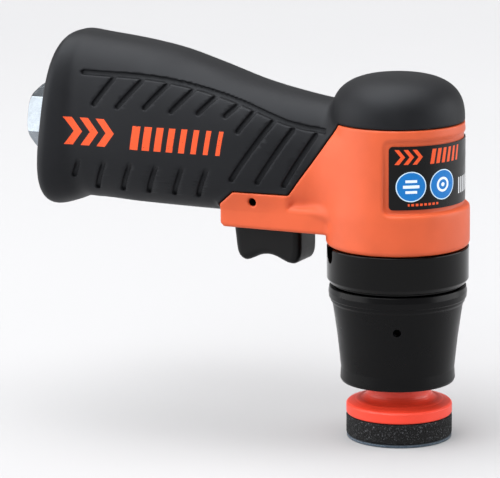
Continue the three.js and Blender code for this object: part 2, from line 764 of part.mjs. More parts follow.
/** A C-shaped clip. */
const clip = (inner, outer, low, high, gap) =>
  cut(ring(inner, outer, low, high), box([-gap, -outer - 1, low - 1], [gap, 0, high + 1]));

/** A spring washer with three waves. */
function waveWasher() {
  const geometry = turned([[6.3, 102.9], [7.9, 102.9], [7.9, 103.2], [6.3, 103.2]]);
  const at = geometry.attributes.position;
  for (let i = 0; i < at.count; i++) {
    const wave = 0.25 * Math.cos(3 * Math.atan2(at.getY(i), at.getX(i)));
    at.setZ(i, at.getZ(i) + wave);
  }
  return solid(geometry);
}

// ---------------------------------------------------------------- spindle and pad, on the pad's own axis
function spindle() {
  const shank = turnedSolid([
    [0, 30],
    [6.2, 30],
    [6.2, 41.7],
    [SHAFT, 41.7],
    [SHAFT, 56],
    [0, 56],
  ]);
  const nut = solid(new THREE.CylinderGeometry(8, 8, 7.9, 6).rotateX(Math.PI / 2).translate(0, 0, 26.05));
  return cut(joined(shank, nut), disc(2.7, 20, 38, SMALL), disc(2.5, 46, 60, SMALL));
}

const spindleScrew = () =>
  cut(
    turnedSolid([[0, 47], [2.2, 47], [2.2, 56.3], [5.2, 56.3], [5.2, 58.8], [0, 58.8]], SMALL),
    solid(new THREE.CylinderGeometry(2, 2, 3, 6).rotateX(Math.PI / 2).translate(0, 0, 59)),
  );

const padPlate = () =>
  turnedSolid(
    [
      [2.7, 10.3],
      [7.3, 10.3],
      [7.3, PLATE_BOTTOM],
      [PAD_RADIUS - 0.2, PLATE_BOTTOM],
      [PAD_RADIUS, PLATE_BOTTOM + 0.4],
      [PAD_RADIUS, PLATE_RIM - 0.8],
      [PAD_RADIUS - 0.8, PLATE_RIM],
      [11.6, 11.9],
      [10.2, 12.6],
      [HUB.radius, 14],
      [HUB.radius, HUB.top],
      [2.7, HUB.top],
    ],
    LARGE,
  );

const padInsert = () =>
  turnedSolid([[0, 7.7], [7, 7.7], [7, 10], [2.4, 10], [2.4, 34], [0, 34]], SMALL);

// ---------------------------------------------------------------- assembly
const sander = new THREE.Group();

/** Adds a named piece to a group, the whole sander if none is given. */
function piece(name, made, material, parent = sander) {
  const mesh = new THREE.Mesh(geometryOf(made), material);
  mesh.name = name;
  parent.add(mesh);
}

function at(x, y) {
  const group = new THREE.Group();
  group.position.set(x, y, 0);
  sander.add(group);
  return group;
}

piece("housing", housing(), ORANGE);
piece("grip_overmold", gripOvermold(), RUBBER_BLACK);
piece("rear_bumper", rearBumper(), RUBBER_BLACK);
piece("nameplate", nameplate(), LABEL_BLACK);
piece("lock_ring", lockRing(), GLOSS_BLACK);
piece("shroud", shroud(), SATIN_BLACK);

piece("inlet_bushing", inletBushing(), STEEL);
piece("inlet_screen", inletScreen(), STEEL);
piece("inlet_o_ring", inletORing(), SEAL);
piece("exhaust_cover", exhaustCover(), SATIN_BLACK);
piece("muffler_felt", mufflerFelt(), FELT);

piece("trigger", trigger(), SATIN_BLACK);
piece("trigger_pin", triggerPin(), STEEL);

const valve = at(VALVE_X, 0);
piece("valve_sleeve", valveSleeve(), BRASS, valve);
piece("valve_cap", disc(4.3, CAP_BOTTOM, 99.9), BRASS, valve);
piece("valve_seat", ring(2.95, 4.3, 87.9, 88.7), SEAL, valve);
piece("valve_poppet", valvePoppet(), STEEL, valve);
piece("valve_spring", valveSpring(), DARK_STEEL, valve);
piece("sleeve_retaining_ring", clip(3.4, 6.3, 78, 78.7, 1.5), DARK_STEEL, valve);
piece("sleeve_o_ring_lower", oRing(5.85, 0.38, SLEEVE_GROOVES[0]), SEAL, valve);
piece("sleeve_o_ring_upper", oRing(5.85, 0.38, SLEEVE_GROOVES[1]), SEAL, valve);
piece("stem_o_ring", oRing(2, 0.33, 80.3, SMALL), SEAL, valve);
piece("air_feed_tube", airFeedTube(), BRASS);

piece("cylinder_liner", cylinderLiner(), STEEL);
piece("rear_end_plate", rearEndPlate(), ALUMINIUM);
piece("front_end_plate", frontEndPlate(), ALUMINIUM);
piece("locating_dowel", bar("z", DOWEL.radius, 74.3, 77.5, [DOWEL.x, 0], DOWEL.sides), STEEL);
piece("case_o_ring", oRing(16.7, 0.6, 70.2, LARGE), SEAL);
piece("wave_washer", waveWasher(), DARK_STEEL);

piece("shaft_balancer", shaftBalancer(), DARK_STEEL);
piece("rotor", rotor(), STEEL);
piece("rotor_key", box([SHAFT - 1, -0.65, 80.3], [5.2, 0.65, 90.7]), DARK_STEEL);
for (let i = 0; i < VANES; i++) {
  const vane = box([6.4, -0.6, 75.7], [ROTOR_RADIUS - 0.05, 0.6, 94.9]);
  piece(`vane_${i + 1}`, vane.rotate([0, 0, (360 * i) / VANES + 45]), VANE_BROWN);
}
piece("shaft_clip", clip(SHAFT - 0.4, 5.6, 103, 103.6, 2.6), DARK_STEEL);

const upper = bearing(UPPER_BEARING.span, UPPER_BEARING.radius);
const lower = bearing(LOWER_BEARING.span, LOWER_BEARING.radius);
for (const [name, parts] of [["upper_bearing", upper], ["lower_bearing", lower]]) {
  piece(`${name}_outer_race`, parts.outer, STEEL);
  piece(`${name}_inner_race`, parts.inner, STEEL);
  piece(`${name}_balls`, parts.balls, BRASS);
}

const padAxis = at(0, ORBIT);
SPINDLE_BEARINGS.forEach((span, i) => {
  const name = `spindle_bearing_${["lower", "upper"][i]}`;
  const parts = bearing(span, SPINDLE_BEARING_RADIUS);
  piece(`${name}_outer_race`, parts.outer, STEEL, padAxis);
  piece(`${name}_inner_race`, parts.inner, STEEL, padAxis);
  piece(`${name}_balls`, parts.balls, BRASS, padAxis);
});
piece("bearing_spacer", ring(7.8, 9.5, 47.9, 49.7), ALUMINIUM, padAxis);
piece("bearing_retaining_ring", clip(7.6, 9.6, 40.6, 41.7, 2.2), DARK_STEEL, padAxis);
piece("dust_seal", ring(6.5, 9.5, 38.3, 40.3), FELT, padAxis);
piece("spindle", spindle(), STEEL, padAxis);
piece("spindle_screw", spindleScrew(), DARK_STEEL, padAxis);
piece("pad_insert", padInsert(), STEEL, padAxis);
piece("pad_plate", padPlate(), PAD_RED, padAxis);
piece("pad_foam", disc(PAD_RADIUS, ...FOAM, LARGE), FOAM_GREY, padAxis);
piece("pad_hook_face", disc(PAD_RADIUS - 0.1, 0, HOOK_TOP, LARGE), HOOK_GREY, padAxis);

export default sander;
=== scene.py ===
import json
import math

import bmesh
import bpy
import numpy as np
from mathutils import Matrix, Vector


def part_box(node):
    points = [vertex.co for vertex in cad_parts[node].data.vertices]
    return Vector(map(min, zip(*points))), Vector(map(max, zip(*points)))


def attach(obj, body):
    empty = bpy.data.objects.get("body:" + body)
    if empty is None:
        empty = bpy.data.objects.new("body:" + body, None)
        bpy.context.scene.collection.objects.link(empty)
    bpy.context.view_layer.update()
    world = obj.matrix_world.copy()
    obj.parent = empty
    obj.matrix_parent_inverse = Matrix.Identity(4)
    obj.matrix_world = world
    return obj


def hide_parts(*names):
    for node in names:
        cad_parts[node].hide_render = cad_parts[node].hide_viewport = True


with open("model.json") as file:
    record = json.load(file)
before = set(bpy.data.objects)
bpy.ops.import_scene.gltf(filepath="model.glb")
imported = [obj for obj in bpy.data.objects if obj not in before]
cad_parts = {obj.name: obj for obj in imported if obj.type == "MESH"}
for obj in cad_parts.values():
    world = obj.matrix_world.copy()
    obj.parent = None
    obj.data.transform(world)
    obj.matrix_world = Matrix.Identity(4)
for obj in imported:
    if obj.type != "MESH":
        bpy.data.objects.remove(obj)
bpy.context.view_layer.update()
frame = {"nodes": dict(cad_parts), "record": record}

# Pistol-grip air sander. Shapes are worked out in millimetres and written to the meshes in metres.
MM = 0.001
BODY, TRIGGER_BODY, PAD_BODY = "tool_body", "trigger", "pad"
RUBBER_NODES = ["grip_overmold", "rear_bumper"]


def box_mm(node):
    """A CAD node's lowest and highest corners, in millimetres."""
    low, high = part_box(node)
    return np.array(low) / MM, np.array(high) / MM


def box_round(nodes):
    """The corners of the box round several CAD nodes, in millimetres."""
    lows, highs = zip(*[box_mm(node) for node in nodes])
    return np.min(lows, 0), np.max(highs, 0)


# ---------------------------------------------------------------- driving dimensions, from the frame
housing_low, housing_high = box_mm("housing")
grip_low, grip_high = box_round(RUBBER_NODES)
ring_low, ring_high = box_mm("lock_ring")
shroud_low, shroud_high = box_mm("shroud")
bushing_low, bushing_high = box_mm("inlet_bushing")
trigger_low, trigger_high = box_mm("trigger")
pin_low, pin_high = box_mm("trigger_pin")
label_low, label_high = box_mm("nameplate")
flange_low, flange_high = box_mm("pad_plate")
foam_low, foam_high = box_mm("pad_foam")
hook_low, hook_high = box_mm("pad_hook_face")
cover_low, cover_high = box_mm("exhaust_cover")

ORBIT = (foam_low[1] + foam_high[1]) / 2  # the pad's axis, off the motor's along Y
PAD_RADIUS = (foam_high[1] - foam_low[1]) / 2
INLET_Z = (bushing_low[2] + bushing_high[2]) / 2
HEAD_RADIUS = housing_high[1]
RING_RADIUS = ring_high[1]
SHROUD_RADIUS = shroud_high[1]
HEAD_BOTTOM = 59.5
CAP_LINE = 97.0
CAP_RADIUS = 19.9
CAP_TOP = 110.9
CAP_POWER = 2.75
RUBBER = 2.4
GAP = 0.3
COVER_OUTER = (cover_high[1] - cover_low[1]) / 2
COVER_INNER = 9.2
REAR_OPENING = COVER_OUTER + 0.4
REAR_OPENING_FRONT = -105.0
PIN_X, PIN_Z = float(pin_low[0] + pin_high[0]) / 2, float(pin_low[2] + pin_high[2]) / 2

# The handle: x, top, bottom, half width, power of the superellipse.
STATIONS = np.array(
    [
        (-113.5, 118.3, 64.4, 18.7, 2.8),
        (-109.0, 118.7, 63.9, 19.0, 2.8),
        (-105.5, 118.65, 65.2, 18.4, 2.7),
        (-102.5, 118.5, 66.7, 17.6, 2.6),
        (-98.0, 118.1, 66.9, 17.4, 2.6),
        (-85.0, 116.7, 66.4, 17.7, 2.5),
        (-72.0, 114.5, 66.1, 17.6, 2.4),
        (-60.0, 111.1, 66.0, 17.1, 2.4),
        (-45.0, 106.5, 65.9, 16.2, 2.4),
        (-30.0, 103.4, 65.9, 14.3, 2.4),
        (-18.0, 101.6, 66.0, 13.2, 2.4),
        (-6.0, 100.4, 66.0, 13.0, 2.4),
    ]
)
HANDLE_END = STATIONS[0, 0]
END_ROUNDING = 4.0
LEAN, LEAN_END = 0.146, -96.0
BLOCK_REAR, BLOCK_BOTTOM, BLOCK_TOP, BLOCK_HALF = -53.2, 62.8, 74.1, 13.0
BLOCK_SHOULDER_X, BLOCK_REAR_TOP = -48.0, 69.8
LEDGE, LEDGE_START = 70.0, -30.2
FAIRING_TOP_X = -12.6
LABEL_SEAT, LABEL_HALF_ANGLE = 19.6, math.radians(79)
LABEL_LOW, LABEL_HIGH = label_low[2], label_high[2]
LABEL_MARGIN = 1.5
# Room for the motor and the lock ring, each as a radius about Z and its top.
MOTOR_BAY = (17.8, 95.4)
RING_SEAT = (18.9, 66.8)
CAP_ROOM = (15.9, 102.3)
# Room inside the handle, each as a radius about the inlet's axis and its front.
INLET_BORE = (9.1, -99.0)
AIR_PASSAGE = (5.0, -38.0)
# The exhaust's channel round the inlet: its middle radius, half its width and its front.
EXHAUST_CHANNEL = (12.4, 1.6, -98.6)
COVER_POCKET_RADIUS = 14.0
# The trigger's guide: where its middle is along X, half its length and width, and the room round it.
GUIDE_X, GUIDE_LONG, GUIDE_WIDE, GUIDE_PLAY = -40.0, 7.0, 4.8, 0.4
GUIDE_ROOM_TOP = 78.0
TRIGGER_PLAY, TRIGGER_ROOM_TOP = 0.35, 66.4
PIN_HOLE_RADIUS = 1.3
VALVE_X, VALVE_RADIUS, VALVE_TOP = -38.0, 6.5, 100.5


# ---------------------------------------------------------------- distance fields
def meet(a, b, radius):
    """Inside both a and b, with the edge between them rounded."""
    inner = np.minimum(np.maximum(a, b), -radius)
    return inner + np.hypot(np.maximum(a + radius, 0), np.maximum(b + radius, 0))


def blend_union(a, b, reach):
    """Inside a or b, with a fillet between them."""
    share = np.clip(0.5 + 0.5 * (b - a) / reach, 0, 1)
    return b + (a - b) * share - reach * share * (1 - share)


def remove(a, b, radius):
    """a without b."""
    return meet(a, -b, radius)


def ramp(low, high, value):
    """0 below low, 1 above high and smooth between them."""
    share = np.clip((value - low) / (high - low), 0, 1)
    return share * share * (3 - 2 * share)


def path_distance(x, z, points):
    """Distance in the XZ plane from a line through points."""
    best = np.full(x.shape, 1e9)
    for (ax, az), (bx, bz) in zip(points[:-1], points[1:]):
        ex, ez = bx - ax, bz - az
        share = np.clip(((x - ax) * ex + (z - az) * ez) / (ex * ex + ez * ez), 0, 1)
        best = np.minimum(best, np.hypot(x - ax - share * ex, z - az - share * ez))
    return best


def outline_distance(x, z, points):
    """Signed distance in the XZ plane from a closed outline, negative inside."""
    closed = list(points) + [points[0]]
    inside = np.zeros(x.shape, bool)
    for (ax, az), (bx, bz) in zip(closed[:-1], closed[1:]):
        if az == bz:
            continue
        crosses = (az > z) != (bz > z)
        inside ^= crosses & (x < (bx - ax) * (z - az) / (bz - az) + ax)
    return np.where(inside, -1, 1) * path_distance(x, z, closed)


def superellipse(u, v, a, b, power):
    """Distance from a superellipse with half axes a and b, exact near its edge."""
    u, v = np.abs(u) / a + 1e-6, np.abs(v) / b + 1e-6
    g = (u**power + v**power) ** (1 / power)
    slope = np.hypot((u / g) ** (power - 1) / a, (v / g) ** (power - 1) / b)
    return (g - 1) / slope


def smooth_columns():
    """The handle's measures at close steps of X, smooth between the stations."""
    x = STATIONS[:, 0]
    fine = np.linspace(x[0], x[-1], 500)
    cell = np.clip(np.searchsorted(x, fine) - 1, 0, len(x) - 2)
    width = x[cell + 1] - x[cell]
    t = (fine - x[cell]) / width
    columns = []
    for column in STATIONS[:, 1:].T:
        slope = np.gradient(column, x)
        value = (2 * t**3 - 3 * t**2 + 1) * column[cell] + (3 * t**2 - 2 * t**3) * column[cell + 1]
        value += width * (t**3 - 2 * t**2 + t) * slope[cell] + width * (t**3 - t**2) * slope[cell + 1]
        columns.append(value)
    return fine, columns


HANDLE_X, HANDLE_COLUMNS = smooth_columns()


def handle_field(x, y, z):
    station = x
    for _ in range(2):
        lean = LEAN * ramp(0, LEAN_END - HANDLE_END, LEAN_END - station)
        station = x - lean * (z - INLET_Z)
    top, bottom, half, power = (np.interp(station, HANDLE_X, c) for c in HANDLE_COLUMNS)
    side = superellipse(y, z - (top + bottom) / 2, half, (top - bottom) / 2, power)
    closed = meet(side, HANDLE_END - station, END_ROUNDING)
    return meet(closed, x + 4, 1)


def head_field(x, y, z):
    around = np.hypot(x, y)
    radius = np.interp(z, (HEAD_BOTTOM, 70, 76, CAP_LINE), (HEAD_RADIUS, HEAD_RADIUS, 21.1, CAP_RADIUS))
    dome = superellipse(around, np.maximum(z - CAP_LINE, 0), CAP_RADIUS, CAP_TOP - CAP_LINE, CAP_POWER)
    side = np.where(z > CAP_LINE, dome, around - radius)
    return meet(side, HEAD_BOTTOM - z, 1.5)


def block_field(x, y, z):
    """The block that carries the trigger, with its ledge under the fairing."""
    outline = [
        (BLOCK_REAR + 1.2, BLOCK_BOTTOM),
        (-5, BLOCK_BOTTOM),
        (-5, LEDGE),
        (LEDGE_START, LEDGE),
        (LEDGE_START - 0.3, BLOCK_TOP),
        (BLOCK_SHOULDER_X, BLOCK_TOP),
        (BLOCK_REAR, BLOCK_REAR_TOP),
        (BLOCK_REAR, BLOCK_BOTTOM + 1.2),
    ]
    return meet(outline_distance(x, z, outline), np.abs(y) - BLOCK_HALF, 1.1)


def outside_field(x, y, z):
    fillet = 1.6 + 5.5 * (1 - ramp(90, 101, z))
    body = blend_union(handle_field(x, y, z), head_field(x, y, z), fillet)
    soften = 0.9 + 2.4 * ramp(66, 69, z)
    return blend_union(body, block_field(x, y, z), soften)


def rubber_region(x, z):
    """Negative where the outside is covered with rubber."""
    far = 200
    outline = [
        (BLOCK_REAR, BLOCK_BOTTOM - far),
        (BLOCK_REAR, BLOCK_REAR_TOP),
        (BLOCK_SHOULDER_X, BLOCK_TOP),
        (LEDGE_START, BLOCK_TOP),
        (FAIRING_TOP_X, CAP_LINE),
        (far, CAP_LINE),
        (far, far),
        (-far, far),
        (-far, -far),
    ]
    return outline_distance(x, z, outline)


def core_field(x, y, z):
    """What the rubber is moulded over."""
    cap = head_field(x, y, np.maximum(z, 90))
    return blend_union(handle_field(x, y, z), cap, 3) + RUBBER


def along_x(radius, y, z):
    """Distance from a round bar on the inlet's axis."""
    return np.hypot(y, z - INLET_Z) - radius


def upright_room(room, x, y, z):
    """A round space about Z, given by its radius and top."""
    radius, top = room
    return np.maximum(np.hypot(x, y) - radius, z - top)


def level_room(room, x, y, z):
    """A round space on the inlet's axis, given by its radius and front."""
    radius, front = room
    return np.maximum(along_x(radius, y, z), x - front)


# The grip's panel: a curved groove, slanted grooves that hang from it, and short ones near the bottom.
PANEL_LINE = [
    (-97.9, 107.7), (-84.8, 107.5), (-77.9, 107.3), (-71.1, 106.7), (-64.4, 105.7), (-57.6, 104.3),
    (-51.0, 102.6), (-44.3, 100.6), (-37.1, 98.0), (-31.2, 96.0), (-24.7, 94.7), (-18.5, 94.1),
]
UPPER_GROOVES = [
    [(-87.2, 106.5), (-93.6, 98.4)],
    [(-77.9, 106.1), (-85.3, 98.0)],
    [(-69.4, 105.4), (-76.0, 98.3)],
    [(-61.0, 104.1), (-67.2, 97.6)],
    [(-53.3, 102.8), (-58.4, 97.6)],
    [(-46.0, 100.8), (-49.7, 97.2)],
    [(-40.7, 99.2), (-45.4, 92.8)],
    [(-34.8, 96.1), (-47.9, 77.9)],
    [(-28.6, 93.9), (-39.6, 77.6)],
    [(-21.2, 92.7), (-31.3, 77.1)],
]
LOWER_GROOVES = [[(x, 80.7), (x - 4.6, 72.0)] for x in (-90.6, -81.5, -72.6, -63.8, -55.6)]
LOWER_GROOVES.append([(-99.5, 80.8), (-102.2, 75.5)])
GROOVE_HALF, GROOVE_DEPTH, GROOVE_EDGE = 0.72, 0.95, 0.3


def in_groove(x, z, line):
    """1 in the groove along a line, 0 away from it and smooth between them."""
    distance = path_distance(x, z, line)
    return 1 - ramp(GROOVE_HALF - GROOVE_EDGE / 2, GROOVE_HALF + GROOVE_EDGE / 2, distance)


def groove_depth(x, y, z):
    """How far the grip's surface is pressed in. The lower grooves run out at their top ends."""
    depth = np.zeros(x.shape)
    for line in [PANEL_LINE] + UPPER_GROOVES:
        depth = np.maximum(depth, GROOVE_DEPTH * in_groove(x, z, line))
    runs_out = 1 - ramp(78.5, 81.5, z)
    for line in LOWER_GROOVES:
        depth = np.maximum(depth, GROOVE_DEPTH * in_groove(x, z, line) * runs_out)
    return depth * ramp(6, 8, np.abs(y))


def grip_field(x, y, z):
    skin = outside_field(x, y, z) + groove_depth(x, y, z)
    skin = meet(skin, rubber_region(x, z) + GAP / 2, 0.35)
    skin = remove(skin, core_field(x, y, z) - GAP, 0.3)
    opening = np.maximum(along_x(REAR_OPENING, y, z), x - REAR_OPENING_FRONT)
    return remove(skin, opening, 0.8)


def label_recess(x, y, z):
    """The seat of the nameplate, wrapped round the nose."""
    around = np.hypot(x, y)
    across = LABEL_HALF_ANGLE * LABEL_SEAT
    low, high = LABEL_LOW - LABEL_MARGIN, LABEL_HIGH + LABEL_MARGIN
    u = np.abs(np.arctan2(y, x)) * LABEL_SEAT - across
    v = np.abs(z - (low + high) / 2) - (high - low) / 2
    corner = 2.0
    flat = meet(u, v, corner)
    return meet(LABEL_SEAT - around, flat, 0.7)


def housing_field(x, y, z):
    shell = remove(outside_field(x, y, z), label_recess(x, y, z), 0.8)
    shell = meet(shell, -rubber_region(x, z) + GAP / 2, 0.3)
    for room in (MOTOR_BAY, RING_SEAT):
        shell = remove(shell, upright_room(room, x, y, z), 0.3)
    return housing_holes(shell, x, y, z)


def housing_holes(shell, x, y, z):
    """Takes out the trigger's room, the pin's hole and the valve's bore."""
    room_x = np.maximum(trigger_low[0] - TRIGGER_PLAY - x, x - trigger_high[0] - TRIGGER_PLAY)
    room = np.maximum(room_x, np.abs(y) - trigger_high[1] - TRIGGER_PLAY)
    room = np.maximum(room, z - TRIGGER_ROOM_TOP)
    guide_x = np.abs(x - GUIDE_X) - GUIDE_LONG - GUIDE_PLAY
    guide = np.maximum(guide_x, np.abs(y) - GUIDE_WIDE - GUIDE_PLAY)
    guide = np.maximum(guide, z - GUIDE_ROOM_TOP)
    pin = np.hypot(x - PIN_X, z - PIN_Z) - PIN_HOLE_RADIUS
    valve = upright_room((VALVE_RADIUS, VALVE_TOP), x - VALVE_X, y, z)
    for hole, edge in ((room, 0.5), (guide, 0.3), (pin, 0.25), (valve, 0.3)):
        shell = remove(shell, hole, edge)
    return shell


def housing_core_field(x, y, z):
    """The part of the housing inside the rubber, with its rooms and air passages."""
    core = core_field(x, y, z)
    core = meet(core, rubber_region(x, z) + GAP, 0.2)
    middle, half, front = EXHAUST_CHANNEL
    holes = [upright_room(CAP_ROOM, x, y, z)]
    holes += [level_room(room, x, y, z) for room in (INLET_BORE, AIR_PASSAGE)]
    holes.append(np.maximum(np.abs(along_x(middle, y, z)) - half, x - front))
    holes.append(level_room((COVER_POCKET_RADIUS, cover_high[0] + GAP), x, y, z))
    for hole in holes:
        core = remove(core, hole, 0.3)
    return housing_holes(core, x, y, z)


# ---------------------------------------------------------------- a mesh from a distance field
BLOCK_CELLS = 6


def sample(field, low, cell, shape):
    """Field values on a grid. Away from the surface only the sign is right."""
    step = BLOCK_CELLS * cell
    blocks = [n // BLOCK_CELLS for n in shape]
    centres = [low[i] + (np.arange(blocks[i]) + 0.5) * step - cell / 2 for i in range(3)]
    coarse = field(*np.meshgrid(*centres, indexing="ij"))
    near = np.abs(coarse) < step * 1.5
    values = coarse.repeat(BLOCK_CELLS, 0).repeat(BLOCK_CELLS, 1).repeat(BLOCK_CELLS, 2)
    i, j, k = np.nonzero(near.repeat(BLOCK_CELLS, 0).repeat(BLOCK_CELLS, 1).repeat(BLOCK_CELLS, 2))
    for part in np.array_split(np.arange(len(i)), max(1, len(i) // 400000)):
        a, b, c = i[part], j[part], k[part]
        values[a, b, c] = field(low[0] + a * cell, low[1] + b * cell, low[2] + c * cell)
    return values


CORNERS = [(a, b, c) for a in (0, 1) for b in (0, 1) for c in (0, 1)]
EDGES = [(p, q) for p in range(8) for q in range(p + 1, 8) if bin(p ^ q).count("1") == 1]


def settle(field, points, cell, rounds=3):
    """Moves points onto the surface, along the field's slope."""
    small = cell * 0.05
    for _ in range(rounds):
        value = field(*points.T)
        slope = np.empty_like(points)
        for axis in range(3):
            ahead = points.copy()
            ahead[:, axis] += small
            slope[:, axis] = (field(*ahead.T) - value) / small
        square = np.maximum((slope**2).sum(1), 0.05)
        move = (value / square)[:, None] * slope
        length = np.maximum(np.linalg.norm(move, axis=1, keepdims=True), 1e-9)
        points = points - move * np.minimum(1, 0.5 * cell / length)
    return points


def surface_of(field, low, high, cell):
    """A closed quad mesh of a field's zero surface: one vertex in each cell that it crosses."""
    low = np.array(low, float) - 2.37 * cell
    blocks = [math.ceil((high[i] - low[i] + 3 * cell) / cell / BLOCK_CELLS) for i in range(3)]
    shape = [n * BLOCK_CELLS for n in blocks]
    values = sample(field, low, cell, shape)
    inside = values < 0
    count = np.zeros([n - 1 for n in shape], np.int8)
    for a, b, c in CORNERS:
        count += inside[a : shape[0] - 1 + a, b : shape[1] - 1 + b, c : shape[2] - 1 + c]
    i, j, k = np.nonzero((count > 0) & (count < 8))
    corner = np.stack([values[i + a, j + b, k + c] for a, b, c in CORNERS], 1)
    total, crossings = np.zeros((len(i), 3)), np.zeros(len(i))
    for p, q in EDGES:
        crossed = (corner[:, p] < 0) != (corner[:, q] < 0)
        gap = np.where(crossed, corner[:, p] - corner[:, q], 1)
        share = np.where(crossed, corner[:, p] / gap, 0)[:, None]
        at = np.array(CORNERS[p]) * (1 - share) + np.array(CORNERS[q]) * share
        total += at * crossed[:, None]
        crossings += crossed
    vertices = low + (np.stack([i, j, k], 1) + total / crossings[:, None]) * cell
    vertices = settle(field, vertices, cell)
    index = np.full(count.shape, -1, np.int32)
    index[i, j, k] = np.arange(len(i))
    faces = []
    for axis in range(3):
        one, two = (axis + 1) % 3, (axis + 2) % 3
        first = np.moveaxis(inside, axis, 0)
        change = np.moveaxis(first[1:] != first[:-1], 0, axis)
        at = np.stack(np.nonzero(change), 1)
        ring = []
        for u, v in ((0, 0), (1, 0), (1, 1), (0, 1)):
            cell_at = at.copy()
            cell_at[:, one] -= u
            cell_at[:, two] -= v
            ring.append(index[tuple(cell_at.T)])
        quad = np.stack(ring, 1)
        outward = inside[tuple(at.T)]
        quad[~outward] = quad[~outward][:, ::-1]
        faces.append(quad)
    return vertices, np.concatenate(faces)


# ---------------------------------------------------------------- objects
def mesh_of(name, vertices, faces):
    """A mesh from points in millimetres."""
    mesh = bpy.data.meshes.new(name)
    mesh.from_pydata((np.asarray(vertices) * MM).tolist(), [], [list(map(int, f)) for f in faces])
    return mesh


def put_in_scene(name, data):
    made = bpy.data.objects.new(name, data)
    bpy.context.scene.collection.objects.link(made)
    return made


def paint(piece, material):
    piece.data.materials.clear()
    piece.data.materials.append(material)
    return piece


def smooth(mesh):
    mesh.polygons.foreach_set("use_smooth", [True] * len(mesh.polygons))


def apply_modifiers(piece):
    """Gives a piece the mesh that its modifiers make, and takes them off."""
    bpy.context.view_layer.update()
    evaluated = piece.evaluated_get(bpy.context.evaluated_depsgraph_get())
    made = bpy.data.meshes.new_from_object(evaluated)
    piece.modifiers.clear()
    piece.data = made
    return made


def add_piece(name, vertices, faces, body, slot, nodes=()):
    """A mesh from points in millimetres, riding on a body and standing for CAD nodes."""
    mesh = mesh_of(name, vertices, faces)
    mesh.validate()
    mesh.update()
    smooth(mesh)
    piece = put_in_scene(name, mesh)
    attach(piece, body)
    if nodes:
        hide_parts(*nodes)
    return piece


MOST_TRIANGLES = 190000


def thin_out(piece):
    """Joins faces where a surface is smooth, until the piece is under the limit."""
    triangles = 2 * len(piece.data.polygons)
    if triangles > MOST_TRIANGLES:
        modifier = piece.modifiers.new("thin", "DECIMATE")
        modifier.ratio = MOST_TRIANGLES / triangles
        smooth(apply_modifiers(piece))
    return piece


def from_field(name, field, low, high, cell, body, slot, nodes=()):
    return thin_out(add_piece(name, *surface_of(field, low, high, cell), body, slot, nodes))


def filleted(profile, radius=0.3, steps=4):
    """A closed profile with its corners rounded, and a point beside each arc to hold the flat next to it."""
    points = [np.array(p, float) for p in profile]
    made = []
    for before, here, after in zip([points[-1]] + points[:-1], points, points[1:] + [points[0]]):
        to, away = before - here, after - here
        long_to, long_away = np.linalg.norm(to), np.linalg.norm(away)
        to, away = to / long_to, away / long_away
        angle = math.acos(float(np.clip(to @ away, -1, 1)))
        if here[0] < 1e-6 or angle > math.radians(172):
            made.append(here)
            continue
        reach = min(radius / math.tan(angle / 2), 0.4 * long_to, 0.4 * long_away)
        start, end = here + to * reach, here + away * reach
        made.append(start + to * min(0.15, 0.05 * long_to))
        for t in np.linspace(0, 1, steps + 1):
            made.append((1 - t) ** 2 * start + 2 * t * (1 - t) * here + t * t * end)
        made.append(end + away * min(0.15, 0.05 * long_away))
    return made


def lathe(profile, sides=144):
    """Vertices and quads of a closed profile of (radius, height), turned about Z."""
    points = np.array(profile)
    turn = np.linspace(0, 2 * math.pi, sides, endpoint=False)
    n = len(points)
    vertices = np.stack(
        [
            np.outer(np.cos(turn), points[:, 0]),
            np.outer(np.sin(turn), points[:, 0]),
            np.tile(points[:, 1], (sides, 1)),
        ],
        2,
    ).reshape(-1, 3)
    faces = []
    for s in range(sides):
        following = (s + 1) % sides
        for p in range(n):
            q = (p + 1) % n
            if points[p, 0] < 1e-6 and points[q, 0] < 1e-6:
                continue
            faces.append([s * n + p, following * n + p, following * n + q, s * n + q])
    return vertices, faces


def weld(piece):
    """Merges the vertices that lie on a turned piece's axis."""
    work = bmesh.new()
    work.from_mesh(piece.data)
    bmesh.ops.remove_doubles(work, verts=work.verts, dist=1e-7)
    bmesh.ops.dissolve_degenerate(work, edges=work.edges, dist=1e-8)
    bmesh.ops.recalc_face_normals(work, faces=work.faces)
    work.to_mesh(piece.data)
    work.free()
    smooth(piece.data)
    return piece


def turned_piece(name, profile, body, slot, nodes=(), centre=(0, 0), radius=0.3, sides=144):
    vertices, faces = lathe(filleted(profile, radius), sides)
    vertices[:, 0] += centre[0]
    vertices[:, 1] += centre[1]
    return weld(add_piece(name, vertices, faces, body, slot, nodes))


def carve(piece, cutters):
    """Cuts solids out of a piece for good, and removes the cutters."""
    for solid in cutters:
        cutting = piece.modifiers.new("cut", "BOOLEAN")
        cutting.operation = "DIFFERENCE"
        cutting.solver = "EXACT"
        cutting.object = solid
    made = apply_modifiers(piece)
    for solid in cutters:
        bpy.data.objects.remove(solid)
    made.set_sharp_from_angle(angle=math.radians(35))
    return piece


def cutter(vertices):
    """A solid between two outlines with the same number of points, to carve with."""
    n = len(vertices) // 2
    faces = [list(range(n)), list(range(2 * n - 1, n - 1, -1))]
    faces += [[i, i + n, (i + 1) % n + n, (i + 1) % n] for i in range(n)]
    return weld(put_in_scene("cutter", mesh_of("cutter", vertices, faces)))


def radial_slot(width, low, high, inner, outer, degrees):
    """A slot with a round foot, cut in from outside at an angle about Z, as a cutter."""
    half = width / 2
    arc = np.linspace(math.pi, 2 * math.pi, 13)
    foot = [(half * math.cos(a), low + half + half * math.sin(a)) for a in arc]
    outline = [(half, high), (-half, high)] + foot
    swing = Matrix.Rotation(math.radians(degrees), 3, "Z")
    return cutter([tuple(swing @ Vector((x, -reach, z))) for reach in (inner, outer) for x, z in outline])


